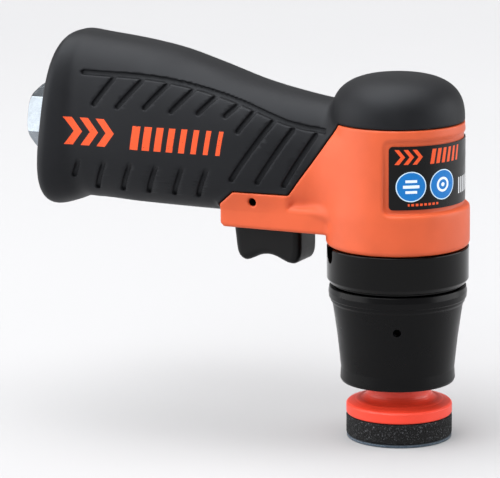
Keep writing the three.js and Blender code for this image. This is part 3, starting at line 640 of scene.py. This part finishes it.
# ---------------------------------------------------------------- shader maths
class Value:
    """A node socket, or a plain number, that operators turn into Math nodes."""

    def __init__(self, graph, socket):
        self.graph, self.socket = graph, socket

    def _math(self, operation, a, b=None):
        values = {0: a} if b is None else {0: a, 1: b}
        return self.graph.add("ShaderNodeMath", {"operation": operation}, values)

    def __add__(self, other):
        return self._math("ADD", self, other)

    def __sub__(self, other):
        return self._math("SUBTRACT", self, other)

    def __rsub__(self, other):
        return self._math("SUBTRACT", other, self)

    def __mul__(self, other):
        return self._math("MULTIPLY", self, other)

    def __truediv__(self, other):
        return self._math("DIVIDE", self, other)

    def __rtruediv__(self, other):
        return self._math("DIVIDE", other, self)

    def __gt__(self, other):
        return self._math("GREATER_THAN", self, other)

    def __lt__(self, other):
        return self._math("LESS_THAN", self, other)

    __radd__ = __add__
    __rmul__ = __mul__

    def absolute(self):
        return self._math("ABSOLUTE", self)

    def fraction(self):
        return self._math("FRACT", self)

    def whole(self):
        return self._math("FLOOR", self)

    def root(self):
        return self._math("SQRT", self)

    def angle_from(self, other):
        return self._math("ARCTAN2", self, other)


class Graph:
    """A material's nodes."""

    def __init__(self, name, material=None, **constants):
        self.material = material or bpy.data.materials.new(name)
        self.material.use_nodes = True
        self.nodes, self.links = self.material.node_tree.nodes, self.material.node_tree.links
        self.shader = self.nodes["Principled BSDF"]
        for socket, value in constants.items():
            self.shader.inputs[socket.replace("_", " ")].default_value = value

    @classmethod
    def on(cls, material):
        """The nodes of a material that is there already."""
        return cls(material.name, material)

    def add(self, kind, settings=None, values=None, out=0):
        """Adds a node: its settings first, then the values or links of its sockets."""
        node = self.nodes.new(kind)
        for key, value in (settings or {}).items():
            setattr(node, key, value)
        for key, value in (values or {}).items():
            self.feed(node.inputs[key], value)
        return Value(self, node.outputs[out])

    def feed(self, target, value):
        if isinstance(value, Value):
            self.links.new(value.socket, target)
        else:
            target.default_value = value

    def set(self, **feeds):
        for socket, value in feeds.items():
            self.feed(self.shader.inputs[socket.replace("_", " ")], value)
        return self.material

    def place(self):
        return self.add("ShaderNodeTexCoord", out="Object")

    def coordinates(self):
        """X, Y and Z in millimetres."""
        split = self.add("ShaderNodeSeparateXYZ", None, {"Vector": self.place()}).socket.node
        return [Value(self, axis) * 1000 for axis in split.outputs]

    def noise(self, per_mm, detail=4, roughness=0.55, distortion=0.0):
        values = {"Vector": self.place(), "Scale": per_mm * 1000, "Detail": detail}
        values.update({"Roughness": roughness, "Distortion": distortion})
        return self.add("ShaderNodeTexNoise", {"noise_dimensions": "3D"}, values)

    def cells(self, per_mm):
        values = {"Vector": self.place(), "Scale": per_mm * 1000}
        return self.add("ShaderNodeTexVoronoi", {"feature": "F1"}, values, out="Distance")

    def mix(self, share, a, b):
        """A colour between a and b."""
        settings = {"data_type": "RGBA", "clamp_factor": True}
        return self.add("ShaderNodeMix", settings, {0: share, 6: a, 7: b}, out=2)

    def between(self, value, low, high, to_low=0.0, to_high=1.0):
        values = {0: value, 1: low, 2: high, 3: to_low, 4: to_high}
        return self.add("ShaderNodeMapRange", {"clamp": True}, values)

    def bump(self, height, strength, depth_mm):
        values = {"Height": height, "Strength": strength, "Distance": depth_mm * MM}
        return self.add("ShaderNodeBump", None, values)


def linear(red, green, blue):
    """A colour given in screen values from 0 to 255, as the shader wants it."""
    def lin(v):
        v /= 255
        return v / 12.92 if v <= 0.04045 else ((v + 0.055) / 1.055) ** 2.4
    return (lin(red), lin(green), lin(blue), 1.0)


def shade(colour, share):
    """A colour made darker or lighter."""
    return tuple(min(1, c * share) for c in colour[:3]) + (1.0,)


# ---------------------------------------------------------------- materials
HOUSING_ORANGE = linear(203, 87, 50)
MARK_ORANGE = linear(226, 84, 42)


def moulded(name, colour, roughness, grain_per_mm=5.0, grain=0.25, **constants):
    """Moulded plastic: a fine texture from the mould, faint flow in the colour and handling wear."""
    g = Graph(name, **constants)
    flow = g.noise(0.05, 3)
    fine = g.noise(grain_per_mm, 2)
    smudge = g.noise(0.13, 5, 0.65)
    g.set(Base_Color=g.mix(g.between(flow, 0.35, 0.65), shade(colour, 0.9), shade(colour, 1.06)))
    g.set(Roughness=g.between(smudge, 0.3, 0.75, roughness - 0.05, roughness + 0.07))
    return g.set(Normal=g.bump(fine, grain, 0.02))


def housing_material():
    """The orange moulding, with painted shade darkening the inside of the roll pin's hole."""
    material = moulded("housing_orange", HOUSING_ORANGE, 0.42, Specular_IOR_Level=0.28)
    g = Graph.on(material)
    x, y, z = g.coordinates()
    u, v = x - PIN_X, z - PIN_Z
    # Painted shade: the inside of the pin's hole is coloured near black.
    painted_hole_shade = ((u * u + v * v).root() < PIN_HOLE_RADIUS + 0.12) * (y.absolute() < BLOCK_HALF - 0.35)
    unshaded_colour = Value(g, g.shader.inputs["Base Color"].links[0].from_socket)
    return g.set(Base_Color=g.mix(painted_hole_shade, unshaded_colour, linear(12, 8, 7)))


def stripes(g, x, z, start, base, pitch, count, duty, half_height, slant):
    """A row of slanted bars that thin out towards the front. 1 on a bar."""
    across = (x - start - (z - base) * slant) / pitch
    bar = across.fraction() < (duty - across.whole() * 0.045)
    return bar * (across > 0) * (across < count) * ((z - base).absolute() < half_height)


def chevrons(g, x, z, start, base, pitch, count, duty, half_height):
    """A row of arrow heads that point forwards. 1 on an arrow head."""
    level = (z - base).absolute()
    across = (x - start + level * 0.8) / pitch
    return (across.fraction() < duty) * (across > 0) * (across < count) * (level < half_height)


def grip_material():
    g = Graph("grip_rubber", Specular_IOR_Level=0.22, Specular_Tint=(0.88, 0.93, 1, 1))
    x, y, z = g.coordinates()
    on_sides = y.absolute() > 8
    mark = chevrons(g, x, z, -100.5, 89.7, 5.6, 3, 0.52, 4.3)
    row = stripes(g, x, z, -80.5, 88.9, 4.1, 8, 0.66, 3.7, 0.18)
    worn = g.between(g.noise(2.5, 3), 0.3, 0.36)
    printed = (mark + row) * on_sides * worn
    smudge = g.noise(0.08, 5, 0.6)
    rubber = g.mix(g.between(smudge, 0.3, 0.7), linear(15, 15, 17), linear(21, 21, 23))
    fine = g.noise(6.5, 3, 0.7)
    g.set(Base_Color=g.mix(printed, rubber, MARK_ORANGE))
    g.set(Roughness=g.between(smudge, 0.3, 0.7, 0.5, 0.6))
    return g.set(Normal=g.bump(fine, 0.32, 0.035))


def label_material():
    """A black printed film: arrow heads, bars, two blue discs and plain dashes."""
    g = Graph("label_print", Specular_IOR_Level=0.2)
    x, y, z = g.coordinates()
    across = y.angle_from(x) * LABEL_SEAT + (LABEL_HALF_ANGLE * LABEL_SEAT - LABEL_MARGIN)
    black = linear(7, 7, 8)
    marks = chevrons(g, across, z, 3.4, 89.2, 2.6, 3, 0.5, 2.2)
    marks = marks + stripes(g, across, z, 12.6, 89.1, 2.0, 6, 0.66, 2.2, 0.18)
    dash = ((across / 1.3).fraction() < 0.62) * ((z - 75.0).absolute() < 0.35)
    marks = marks + dash * (across > 5.5) * (across < 15)
    colour = g.mix(marks, black, MARK_ORANGE)
    bars_disc, target_disc = 6.5, 16.7
    disc_z, disc_radius, disc_rim = 80.4, 4.2, 0.3
    for centre in (bars_disc, target_disc):
        u, v = across - centre, z - disc_z
        reach = (u * u + v * v).root()
        colour = g.mix(reach < disc_radius + disc_rim, colour, linear(196, 222, 240))
        colour = g.mix(reach < disc_radius, colour, linear(20, 112, 186))
        if centre == bars_disc:
            sign = (v.absolute() < 0.45) * (u.absolute() < 2.4)
            sign = sign + (((v.absolute() - 1.6).absolute() < 0.4) * (u.absolute() < 1.7))
        else:
            sign = (reach > 1.5) * (reach < 2.2)
            sign = sign + (reach < 0.6)
        colour = g.mix(sign, colour, linear(226, 236, 244))
    tick = ((across / 1.5).fraction() < 0.45) * (across > 23.2) * (across < 33)
    tick = tick * ((z - 79).absolute() < 2.4)
    colour = g.mix(tick, colour, linear(215, 217, 220))
    smudge = g.noise(0.2, 4)
    fine = g.noise(3.0, 2)
    g.set(Base_Color=colour)
    g.set(Roughness=g.between(smudge, 0.3, 0.7, 0.26, 0.38))
    return g.set(Normal=g.bump(fine, 0.08, 0.02))


def metal(name, colour, roughness, streaks=(1, 1, 14), strength=0.18, **constants):
    """Machined or plated metal: fine tool marks along one direction and uneven shine."""
    g = Graph(name, Metallic=1.0, **constants)
    stretched = g.add("ShaderNodeMapping", None, {"Vector": g.place(), "Scale": streaks})
    marks = g.add("ShaderNodeTexNoise", None, {"Vector": stretched, "Scale": 900.0, "Detail": 4.0})
    cloud = g.noise(0.25, 4)
    g.set(Base_Color=g.mix(g.between(cloud, 0.3, 0.7), shade(colour, 0.86), shade(colour, 1.12)))
    g.set(Roughness=g.between(marks, 0.3, 0.7, roughness - 0.06, roughness + 0.09))
    return g.set(Normal=g.bump(marks, strength, 0.01))


def foam_material():
    """Closed-cell foam: dark, with painted shade at the bottom of each pit and pale specks painted on as
    glints where cut cells catch the light.
    """
    g = Graph("pad_foam", Specular_IOR_Level=0.3)
    pits = g.cells(1.6)
    grains = g.noise(1.7, 5, 0.85)
    # Painted glints: pale specks in the colour where cut cells would catch the light.
    painted_glint = g.between(grains, 0.56, 0.66)
    # Painted shade: darker at the bottom of each pit, where the bump sinks.
    base = g.mix(g.between(pits, 0.1, 0.6), linear(4, 4, 5), linear(12, 12, 13))
    g.set(Base_Color=g.mix(painted_glint, base, linear(120, 122, 126)))
    g.set(Roughness=g.between(grains, 0.3, 0.7, 0.75, 0.98))
    return g.set(Normal=g.bump(grains + pits, 0.9, 0.25))


def hook_material():
    """The layer that grips the disc: a mat of tiny hooks on a pale backing."""
    g = Graph("pad_hooks", Sheen_Weight=0.2)
    hooks = g.cells(2.4)
    fibre = g.noise(5.0, 4)
    g.set(Base_Color=g.mix(g.between(hooks, 0.05, 0.5), linear(104, 116, 128), linear(44, 62, 78)))
    g.set(Roughness=g.between(fibre, 0.3, 0.7, 0.6, 0.9))
    return g.set(Normal=g.bump(hooks + fibre, 0.8, 0.2))


def fibre_material(name, colour):
    g = Graph(name, Sheen_Weight=0.3)
    fibre = g.noise(2.5, 6, 0.8, 1.5)
    g.set(Base_Color=g.mix(fibre, shade(colour, 0.6), colour))
    g.set(Roughness=g.between(fibre, 0.2, 0.8, 0.8, 1.0))
    return g.set(Normal=g.bump(fibre, 0.8, 0.2))


def laminate_material():
    """Vane laminate: thin layers of woven resin."""
    g = Graph("vane_laminate", Specular_IOR_Level=0.4)
    values = {"Vector": g.place(), "Scale": 900.0, "Distortion": 1.5, "Detail": 3.0}
    layers = g.add("ShaderNodeTexWave", {"bands_direction": "Z"}, values, out="Fac")
    g.set(Base_Color=g.mix(layers, linear(92, 60, 34), linear(128, 88, 52)))
    g.set(Roughness=g.between(layers, 0, 1, 0.45, 0.65))
    return g.set(Normal=g.bump(layers, 0.2, 0.02))


def floor_material():
    g = Graph("studio_floor", Specular_IOR_Level=0.2)
    g.set(Base_Color=g.mix(g.noise(0.002, 2), linear(164, 164, 166), linear(169, 169, 170)))
    return g.set(Roughness=g.between(g.noise(0.01, 2), 0, 1, 0.7, 0.8))


orange = housing_material()
flange_red = moulded("flange_red", linear(232, 64, 42), 0.4, 3.0, 0.2, Specular_IOR_Level=0.4)
rubber_grip = grip_material()
label_print = label_material()
gloss_black = moulded("ring_gloss", linear(2, 2, 2), 0.1, 4.0, 0.04, Specular_IOR_Level=0.17)
satin_black = moulded("shroud_satin", linear(7, 7, 8), 0.3, 4.0, 0.15, Specular_IOR_Level=0.13)
trigger_black = moulded("trigger_black", linear(14, 14, 15), 0.4, 5.0, 0.3, Specular_IOR_Level=0.18)
cover_black = moulded("cover_black", linear(26, 26, 28), 0.55, 4.0, 0.3, Specular_IOR_Level=0.35)
seal_black = moulded("seal_rubber", linear(18, 18, 19), 0.5, 3.0, 0.2, Specular_IOR_Level=0.35)
zinc = metal("bright_zinc", (0.27, 0.30, 0.33, 1), 0.2, (1, 1, 6), 0.1)
steel = metal("ground_steel", (0.62, 0.62, 0.63, 1), 0.3)
dark_steel = metal("oiled_steel", (0.22, 0.22, 0.23, 1), 0.42)
aluminium = metal("machined_aluminium", (0.72, 0.73, 0.74, 1), 0.35, (1, 1, 20))
brass = metal("turned_brass", (0.78, 0.57, 0.25, 1), 0.3)
felt = fibre_material("felt", linear(150, 146, 136))
laminate = laminate_material()
foam = foam_material()
hooks = hook_material()

INNER_FINISHES = {
    "steel": steel,
    "zinc_steel": zinc,
    "dark_steel": dark_steel,
    "aluminium": aluminium,
    "brass": brass,
    "seal": seal_black,
    "felt": felt,
    "vane": laminate,
}


def finish_inner_nodes():
    """Gives each CAD node that stays a finish for its slot."""
    slots = {s["node"]: s["material_slot"] for s in frame["record"]["subparts"]}
    for name, node in frame["nodes"].items():
        made = INNER_FINISHES.get(slots[name])
        if made is not None and not node.hide_render:
            paint(node, made)


# ---------------------------------------------------------------- pieces
def make_grip():
    cell = 0.42
    low, high = grip_low - 1, grip_high + 1
    piece = from_field("grip_skin", grip_field, low, high, cell, BODY, "grip", RUBBER_NODES)
    return paint(piece, rubber_grip)


def make_housing():
    cell = 0.45
    low = np.array([BLOCK_REAR - 2, housing_low[1] - 1, HEAD_BOTTOM - 1])
    high = np.array([housing_high[0] + 1, housing_high[1] + 1, CAP_LINE + 2])
    shell = from_field("housing_shell", housing_field, low, high, cell, BODY, "housing", ["housing"])
    low, high = housing_low - 1, housing_high + 1
    core = from_field("housing_core", housing_core_field, low, high, 1.0, BODY, "housing")
    return paint(shell, orange), paint(core, orange)


def make_label():
    """A thin film with round corners, wrapped round the nose."""
    corner, thick = 1.2, 0.35
    inner = LABEL_SEAT + 0.1
    low, high = LABEL_LOW, LABEL_HIGH
    reach = LABEL_HALF_ANGLE * LABEL_SEAT - LABEL_MARGIN
    ends = corner * (1 - np.cos(np.linspace(0, math.pi / 2, 7)))
    between = np.linspace(low + corner, high - corner, 12)[1:-1]
    rows = np.concatenate([low + ends, between, (high - ends)[::-1]])
    columns = np.linspace(-1, 1, 97)
    vertices = []
    for radius in (inner, inner + thick):
        for z in rows:
            into = max(0, corner - min(z - low, high - z))
            width = reach - (corner - math.sqrt(max(corner**2 - into**2, 0)))
            angle = columns * width / LABEL_SEAT
            vertices += [(radius * math.cos(a), radius * math.sin(a), z) for a in angle]
    n, m = len(columns), len(rows)
    faces = []
    for i in range(m - 1):
        for j in range(n - 1):
            a = i * n + j
            faces.append([a, a + n, a + n + 1, a + 1])
            faces.append([a + m * n, a + m * n + 1, a + m * n + n + 1, a + m * n + n])
    rim = list(range(n)) + [i * n + n - 1 for i in range(1, m)]
    rim += [(m - 1) * n + j for j in range(n - 2, -1, -1)] + [i * n for i in range(m - 2, 0, -1)]
    faces += [[a, b, b + m * n, a + m * n] for a, b in zip(rim, rim[1:] + rim[:1])]
    piece = weld(add_piece("label_film", vertices, faces, BODY, "label", ["nameplate"]))
    piece.data.set_sharp_from_angle(angle=math.radians(40))
    return paint(piece, label_print)


def make_lock_ring():
    r = RING_RADIUS
    profile = [
        (16, 43.9), (18.4, 43.9), (18.4, 47.5), (19.7, 47.5), (19.7, 48.2), (20.4, 48.2),
        (r, 49.5), (r, 59.3), (18.6, 59.3), (18.6, 66.4), (14, 66.4), (14, 64), (16, 64),
    ]
    shape = {"radius": 0.35, "sides": 192}
    ring = turned_piece("lock_ring_gloss", profile, BODY, "lock_ring", ["lock_ring"], **shape)
    slots = [radial_slot(4.6, 54.7, 62, 19.4, 30, degrees) for degrees in (-49, 131)]
    return paint(carve(ring, slots), gloss_black)


def make_shroud():
    r = SHROUD_RADIUS
    profile = [
        (14.9, 17.8), (16.9, 17.8), (17.3, 18.7), (17.1, 22.0), (18.1, 31.5), (19.4, 40.6), (19.7, 41.9),
        (20.15, 42.6), (20.3, 43.4), (r - 0.15, 43.7), (r, 45.4), (r - 0.3, 47.2), (r - 1.1, 47.2),
        (18.7, 46.6), (18.7, 43.5), (17.6, 42.6), (17.6, 41.6), (15.1, 21.5),
    ]
    shroud = turned_piece("shroud_skirt", profile, BODY, "shroud", ["shroud"], radius=0.35, sides=192)
    middle, radius = 36.3, 1.2
    turn = np.linspace(0, 2 * math.pi, 24, endpoint=False)
    circle = [(radius * math.cos(a), middle + radius * math.sin(a)) for a in turn]
    hole = [(x, y, z) for y in (-26, -12) for x, z in circle]
    swing = Matrix.Rotation(math.radians(22.5), 3, "Z")
    return paint(carve(shroud, [cutter([tuple(swing @ Vector(p)) for p in hole])]), satin_black)


def bushing_field(x, y, z):
    """The hexagonal inlet: chamfered flats, a plain shank and a threaded socket."""
    u, v = y, z - INLET_Z
    around = np.hypot(u, v)
    start, end = bushing_low[0], -115.4
    half_flats, first_flat = 9.5, 48
    flats = np.full(x.shape, -1e9)
    for k in range(3):
        angle = math.radians(first_flat + 60 * k)
        flats = np.maximum(flats, np.abs(u * math.cos(angle) + v * math.sin(angle)) - half_flats)
    hexagon = meet(flats, np.abs(x - (start + end) / 2) - (end - start) / 2, 0.35)
    chamfer = (around - 9.6 - (x - start) * 1.6) / 1.9
    hexagon = meet(hexagon, chamfer, 0.2)
    shank_radius, shank_middle, shank_half = 8.8, -108, 8
    shank = meet(around - shank_radius, np.abs(x - shank_middle) - shank_half, 0.4)
    solid = np.minimum(hexagon, shank)
    thread_height, pitch = 0.42, 1.4
    thread = thread_height * np.cos(np.arctan2(v, u) + 2 * math.pi * x / pitch)
    thread = thread * ramp(start + 1, start + 2.5, x)
    bore_radius, bore_end, mouth_radius, throat_radius = 6.25, -108.5, 7.0, 4.2
    bore = np.maximum(around - bore_radius + thread, x - bore_end)
    mouth = np.maximum(around - mouth_radius + (x - start) * 0.7, x - start - 2)
    throat = around - throat_radius
    for hole in (bore, mouth, throat):
        solid = remove(solid, hole, 0.15)
    return solid


def make_bushing():
    cell = 0.27
    low, high = bushing_low - 0.5, bushing_high + 0.5
    piece = from_field("inlet_hexagon", bushing_field, low, high, cell, BODY, "zinc_steel", ["inlet_bushing"])
    return paint(piece, zinc)


def cover_field(x, y, z):
    """The exhaust cover: a flat ring with slots all round."""
    u, v = y, z - INLET_Z
    around = np.hypot(u, v)
    middle, half = (cover_low[0] + cover_high[0]) / 2, (cover_high[0] - cover_low[0]) / 2
    ring_middle, ring_half = (COVER_OUTER + COVER_INNER) / 2, (COVER_OUTER - COVER_INNER) / 2
    plate = meet(np.abs(around - ring_middle) - ring_half, np.abs(x - middle) - half, 0.4)
    sector = math.pi / 5
    angle = np.mod(np.arctan2(v, u), sector) - sector / 2
    slot = meet(np.abs(around * np.sin(angle)) - 0.75, np.abs(around - ring_middle - 0.4) - 0.95, 0.6)
    return remove(plate, slot, 0.2)


def make_cover():
    cell = 0.3
    low, high = cover_low - 0.5, cover_high + 0.5
    piece = from_field("exhaust_ring", cover_field, low, high, cell, BODY, "cover", ["exhaust_cover"])
    return paint(piece, cover_black)


def curve_points(start, *legs):
    """Points along straight, quadratic or cubic legs, each given by its control points and its end."""
    points = [start]
    for leg in legs:
        controls = [np.array(points[-1])] + [np.array(q) for q in leg]
        degree = len(controls) - 1
        for t in np.linspace(0, 1, 7 if degree > 1 else 2)[1:]:
            weights = [math.comb(degree, i) * t**i * (1 - t) ** (degree - i) for i in range(degree + 1)]
            points.append(tuple(sum(w * c for w, c in zip(weights, controls))))
    return points


def make_trigger():
    rear, front, top = trigger_low[0], trigger_high[0], 63.4
    outline = curve_points(
        (rear, top),
        [(rear + 0.9, 56)],
        [(rear + 1.2, 51.9), (-47.8, trigger_low[2])],
        [(-45.3, 51.8), (-44, 53.8), (-40.4, 53.8)],
        [(-37, 53.8), (-35.4, 51.6), (-32.4, trigger_low[2])],
        [(front - 0.2, 51.5), (front, 56)],
        [(front, top)],
    )
    half = trigger_high[1]
    guide_bottom, guide_top = 60, trigger_high[2]
    slot_x, slot_top, slot_radius, travel = -41.9, 71.2, 1.55, 2.6

    def field(x, y, z):
        finger = meet(outline_distance(x, z, outline), np.abs(y) - half, 2.2)
        guide = meet(np.abs(x - GUIDE_X) - GUIDE_LONG, np.abs(y) - GUIDE_WIDE, 0.4)
        guide_z = np.abs(z - (guide_bottom + guide_top) / 2) - (guide_top - guide_bottom) / 2
        guide = meet(guide, guide_z, 0.4)
        slot_z = np.maximum(np.abs(z - slot_top + travel / 2) - travel / 2, 0)
        slot = np.hypot(x - slot_x, slot_z) - slot_radius
        return remove(np.minimum(finger, guide), slot, 0.2)

    cell = 0.32
    low, high = trigger_low - 0.5, trigger_high + 0.5
    piece = from_field("trigger_lever", field, low, high, cell, TRIGGER_BODY, "trigger", ["trigger"])
    return paint(piece, trigger_black)


def make_pin():
    """A roll pin: a split tube with a small bevel at each end."""
    half, outer, inner, bevel = pin_high[1], 1.25, 0.75, 0.3
    slit = math.radians(12)
    end = outer - bevel * 0.6
    rings = ((-half, end), (-half + bevel, outer), (half - bevel, outer), (half, end))
    sides = 36
    turn = np.linspace(slit, 2 * math.pi - slit, sides)
    vertices = []
    for y, out in rings:
        for radius in (out, inner):
            vertices += [(PIN_X + radius * math.cos(a), y, PIN_Z + radius * math.sin(a)) for a in turn]
    faces = []
    row = 2 * sides
    for i in range(3):
        for j in range(sides - 1):
            a, b = i * row + j, (i + 1) * row + j
            faces.append([a, a + 1, b + 1, b])
            faces.append([a + sides, b + sides, b + sides + 1, a + sides + 1])
        for j in (0, sides - 1):
            a, b = i * row + j, (i + 1) * row + j
            faces.append([a, b, b + sides, a + sides])
    for i in (0, 3):
        for j in range(sides - 1):
            a = i * row + j
            faces.append([a, a + sides, a + sides + 1, a + 1])
    piece = weld(add_piece("trigger_roll_pin", vertices, faces, BODY, "steel", ["trigger_pin"]))
    piece.data.set_sharp_from_angle(angle=math.radians(40))
    return paint(piece, dark_steel)


def make_flange():
    r, low, rim = PAD_RADIUS, flange_low[2], 10.8
    turn = np.linspace(0, math.pi / 2, 7)
    neck = [(12.2 - 2.6 * math.sin(a), 14.5 - 2.6 * math.cos(a)) for a in turn]
    profile = [
        (2.7, 10.3), (7.3, 10.3), (7.3, low), (r - 0.2, low), (r, low + 0.4), (r, rim - 0.5), (r - 0.5, rim),
        (13.4, 11.4), (12.9, 11.7), (12.2, 11.9), *neck[1:], (9.6, flange_high[2]), (2.7, flange_high[2]),
    ]
    piece = turned_piece("pad_flange", profile, PAD_BODY, "pad_flange", ["pad_plate"], (0, ORBIT), 0.3)
    return paint(piece, flange_red)


def make_foam():
    """A foam disc with open cut cells over its side."""
    random = np.random.default_rng(7)
    sides, rows = 320, 22
    r, low, high = PAD_RADIUS, foam_low[2], foam_high[2]
    heights = np.linspace(low, high, rows)
    profile = [(0, low)] + [(r * t, low) for t in (0.4, 0.75, 0.93, 0.975)] + [(r - 0.25, low + 0.02)]
    profile += [(r, z) for z in heights[1:-1]] + [(r - 0.2, high), (r * 0.9, high), (0, high)]
    vertices, faces = lathe(profile, sides)
    around = np.hypot(vertices[:, 0], vertices[:, 1])
    side = around > r - 0.1
    shrink = 1 - np.abs(random.normal(0, 0.075, len(vertices))) / r
    vertices[side, :2] *= shrink[side, None]
    vertices[:, 1] += ORBIT
    piece = weld(add_piece("foam_disc", vertices, faces, PAD_BODY, "pad_foam", ["pad_foam"]))
    return paint(piece, foam)


def make_hook_face():
    r, low, high = PAD_RADIUS - 0.1, hook_low[2], hook_high[2]
    profile = [(0, low), (r - 0.25, low), (r, low + 0.25), (r, high), (0, high)]
    piece = turned_piece("hook_layer", profile, PAD_BODY, "pad_face", ["pad_hook_face"], (0, ORBIT), 0.12)
    return paint(piece, hooks)


# ---------------------------------------------------------------- stage
WORLD_LIGHT = 0.36
# Each sun: name, strength, how wide it looks in degrees, and where it shines from.
SUNS = (
    ("overhead", 5.0, 70, (-0.2, -0.08, 1)),
    ("front", 1.2, 45, (-0.2, -0.75, 0.9)),
)
# Each softbox: name, place, width, height, power in watts.
SOFTBOXES = (
    ("left", (-0.75, -0.43, 0.25), 1.0, 0.6, 5.5),
    ("right", (0.75, 0.35, 0.25), 0.9, 0.6, 5.5),
)


def hang_light(lamp, place):
    """Puts a lamp at a place, facing the middle of the sander."""
    light = put_in_scene(lamp.name, lamp)
    light.location = place
    light.rotation_mode = "QUATERNION"
    facing = Vector((-0.045, 0, 0.075)) - Vector(place)
    light.rotation_quaternion = facing.to_track_quat("-Z", "Y")


def make_stage():
    reach = 6.0 / MM
    corners = [(-reach, -reach, 0), (reach, -reach, 0), (reach, reach, 0), (-reach, reach, 0)]
    floor = put_in_scene("floor", mesh_of("floor", corners, [[0, 1, 2, 3]]))
    paint(floor, floor_material())
    world = bpy.data.worlds.new("studio")
    bpy.context.scene.world = world
    world.use_nodes = True
    background = world.node_tree.nodes["Background"]
    background.inputs["Color"].default_value = (1, 1, 1, 1)
    background.inputs["Strength"].default_value = WORLD_LIGHT
    bpy.context.scene.view_settings.view_transform = "Standard"
    for name, strength, spread, place in SUNS:
        sun = bpy.data.lights.new(name, "SUN")
        sun.energy, sun.angle = strength, math.radians(spread)
        hang_light(sun, place)
    for name, place, width, height, power in SOFTBOXES:
        softbox = bpy.data.lights.new(name, "AREA")
        softbox.shape, softbox.energy = "RECTANGLE", power
        softbox.size, softbox.size_y = width, height
        hang_light(softbox, place)


def make_camera():
    """A long lens, turned towards the nose and a little above the object."""
    azimuth, elevation, roll = math.radians(26), math.radians(11.75), math.radians(-0.5)
    target, distance = np.array([-45.1, -8.4, 58.7]), 910
    across = math.cos(elevation)
    back = np.array([math.sin(azimuth) * across, -math.cos(azimuth) * across, math.sin(elevation)])
    level = np.array([math.cos(azimuth), math.sin(azimuth), 0])
    above = np.cross(back, level)
    right = math.cos(roll) * level + math.sin(roll) * above
    up = math.cos(roll) * above - math.sin(roll) * level
    place = (target + back * distance) * MM
    camera_data = bpy.data.cameras.new("camera")
    camera_data.sensor_width = 36
    camera_data.sensor_fit = "HORIZONTAL"
    camera_data.lens = 216
    camera_data.clip_start, camera_data.clip_end = 0.05, 30
    camera = put_in_scene("camera", camera_data)
    rows = [[right[i], up[i], back[i], place[i]] for i in range(3)]
    camera.matrix_world = Matrix(rows + [[0, 0, 0, 1]])
    bpy.context.scene.camera = camera


make_camera()
make_stage()
make_grip()
make_housing()
make_label()
make_lock_ring()
make_shroud()
make_bushing()
make_cover()
make_trigger()
make_pin()
make_flange()
make_foam()
make_hook_face()
finish_inner_nodes()
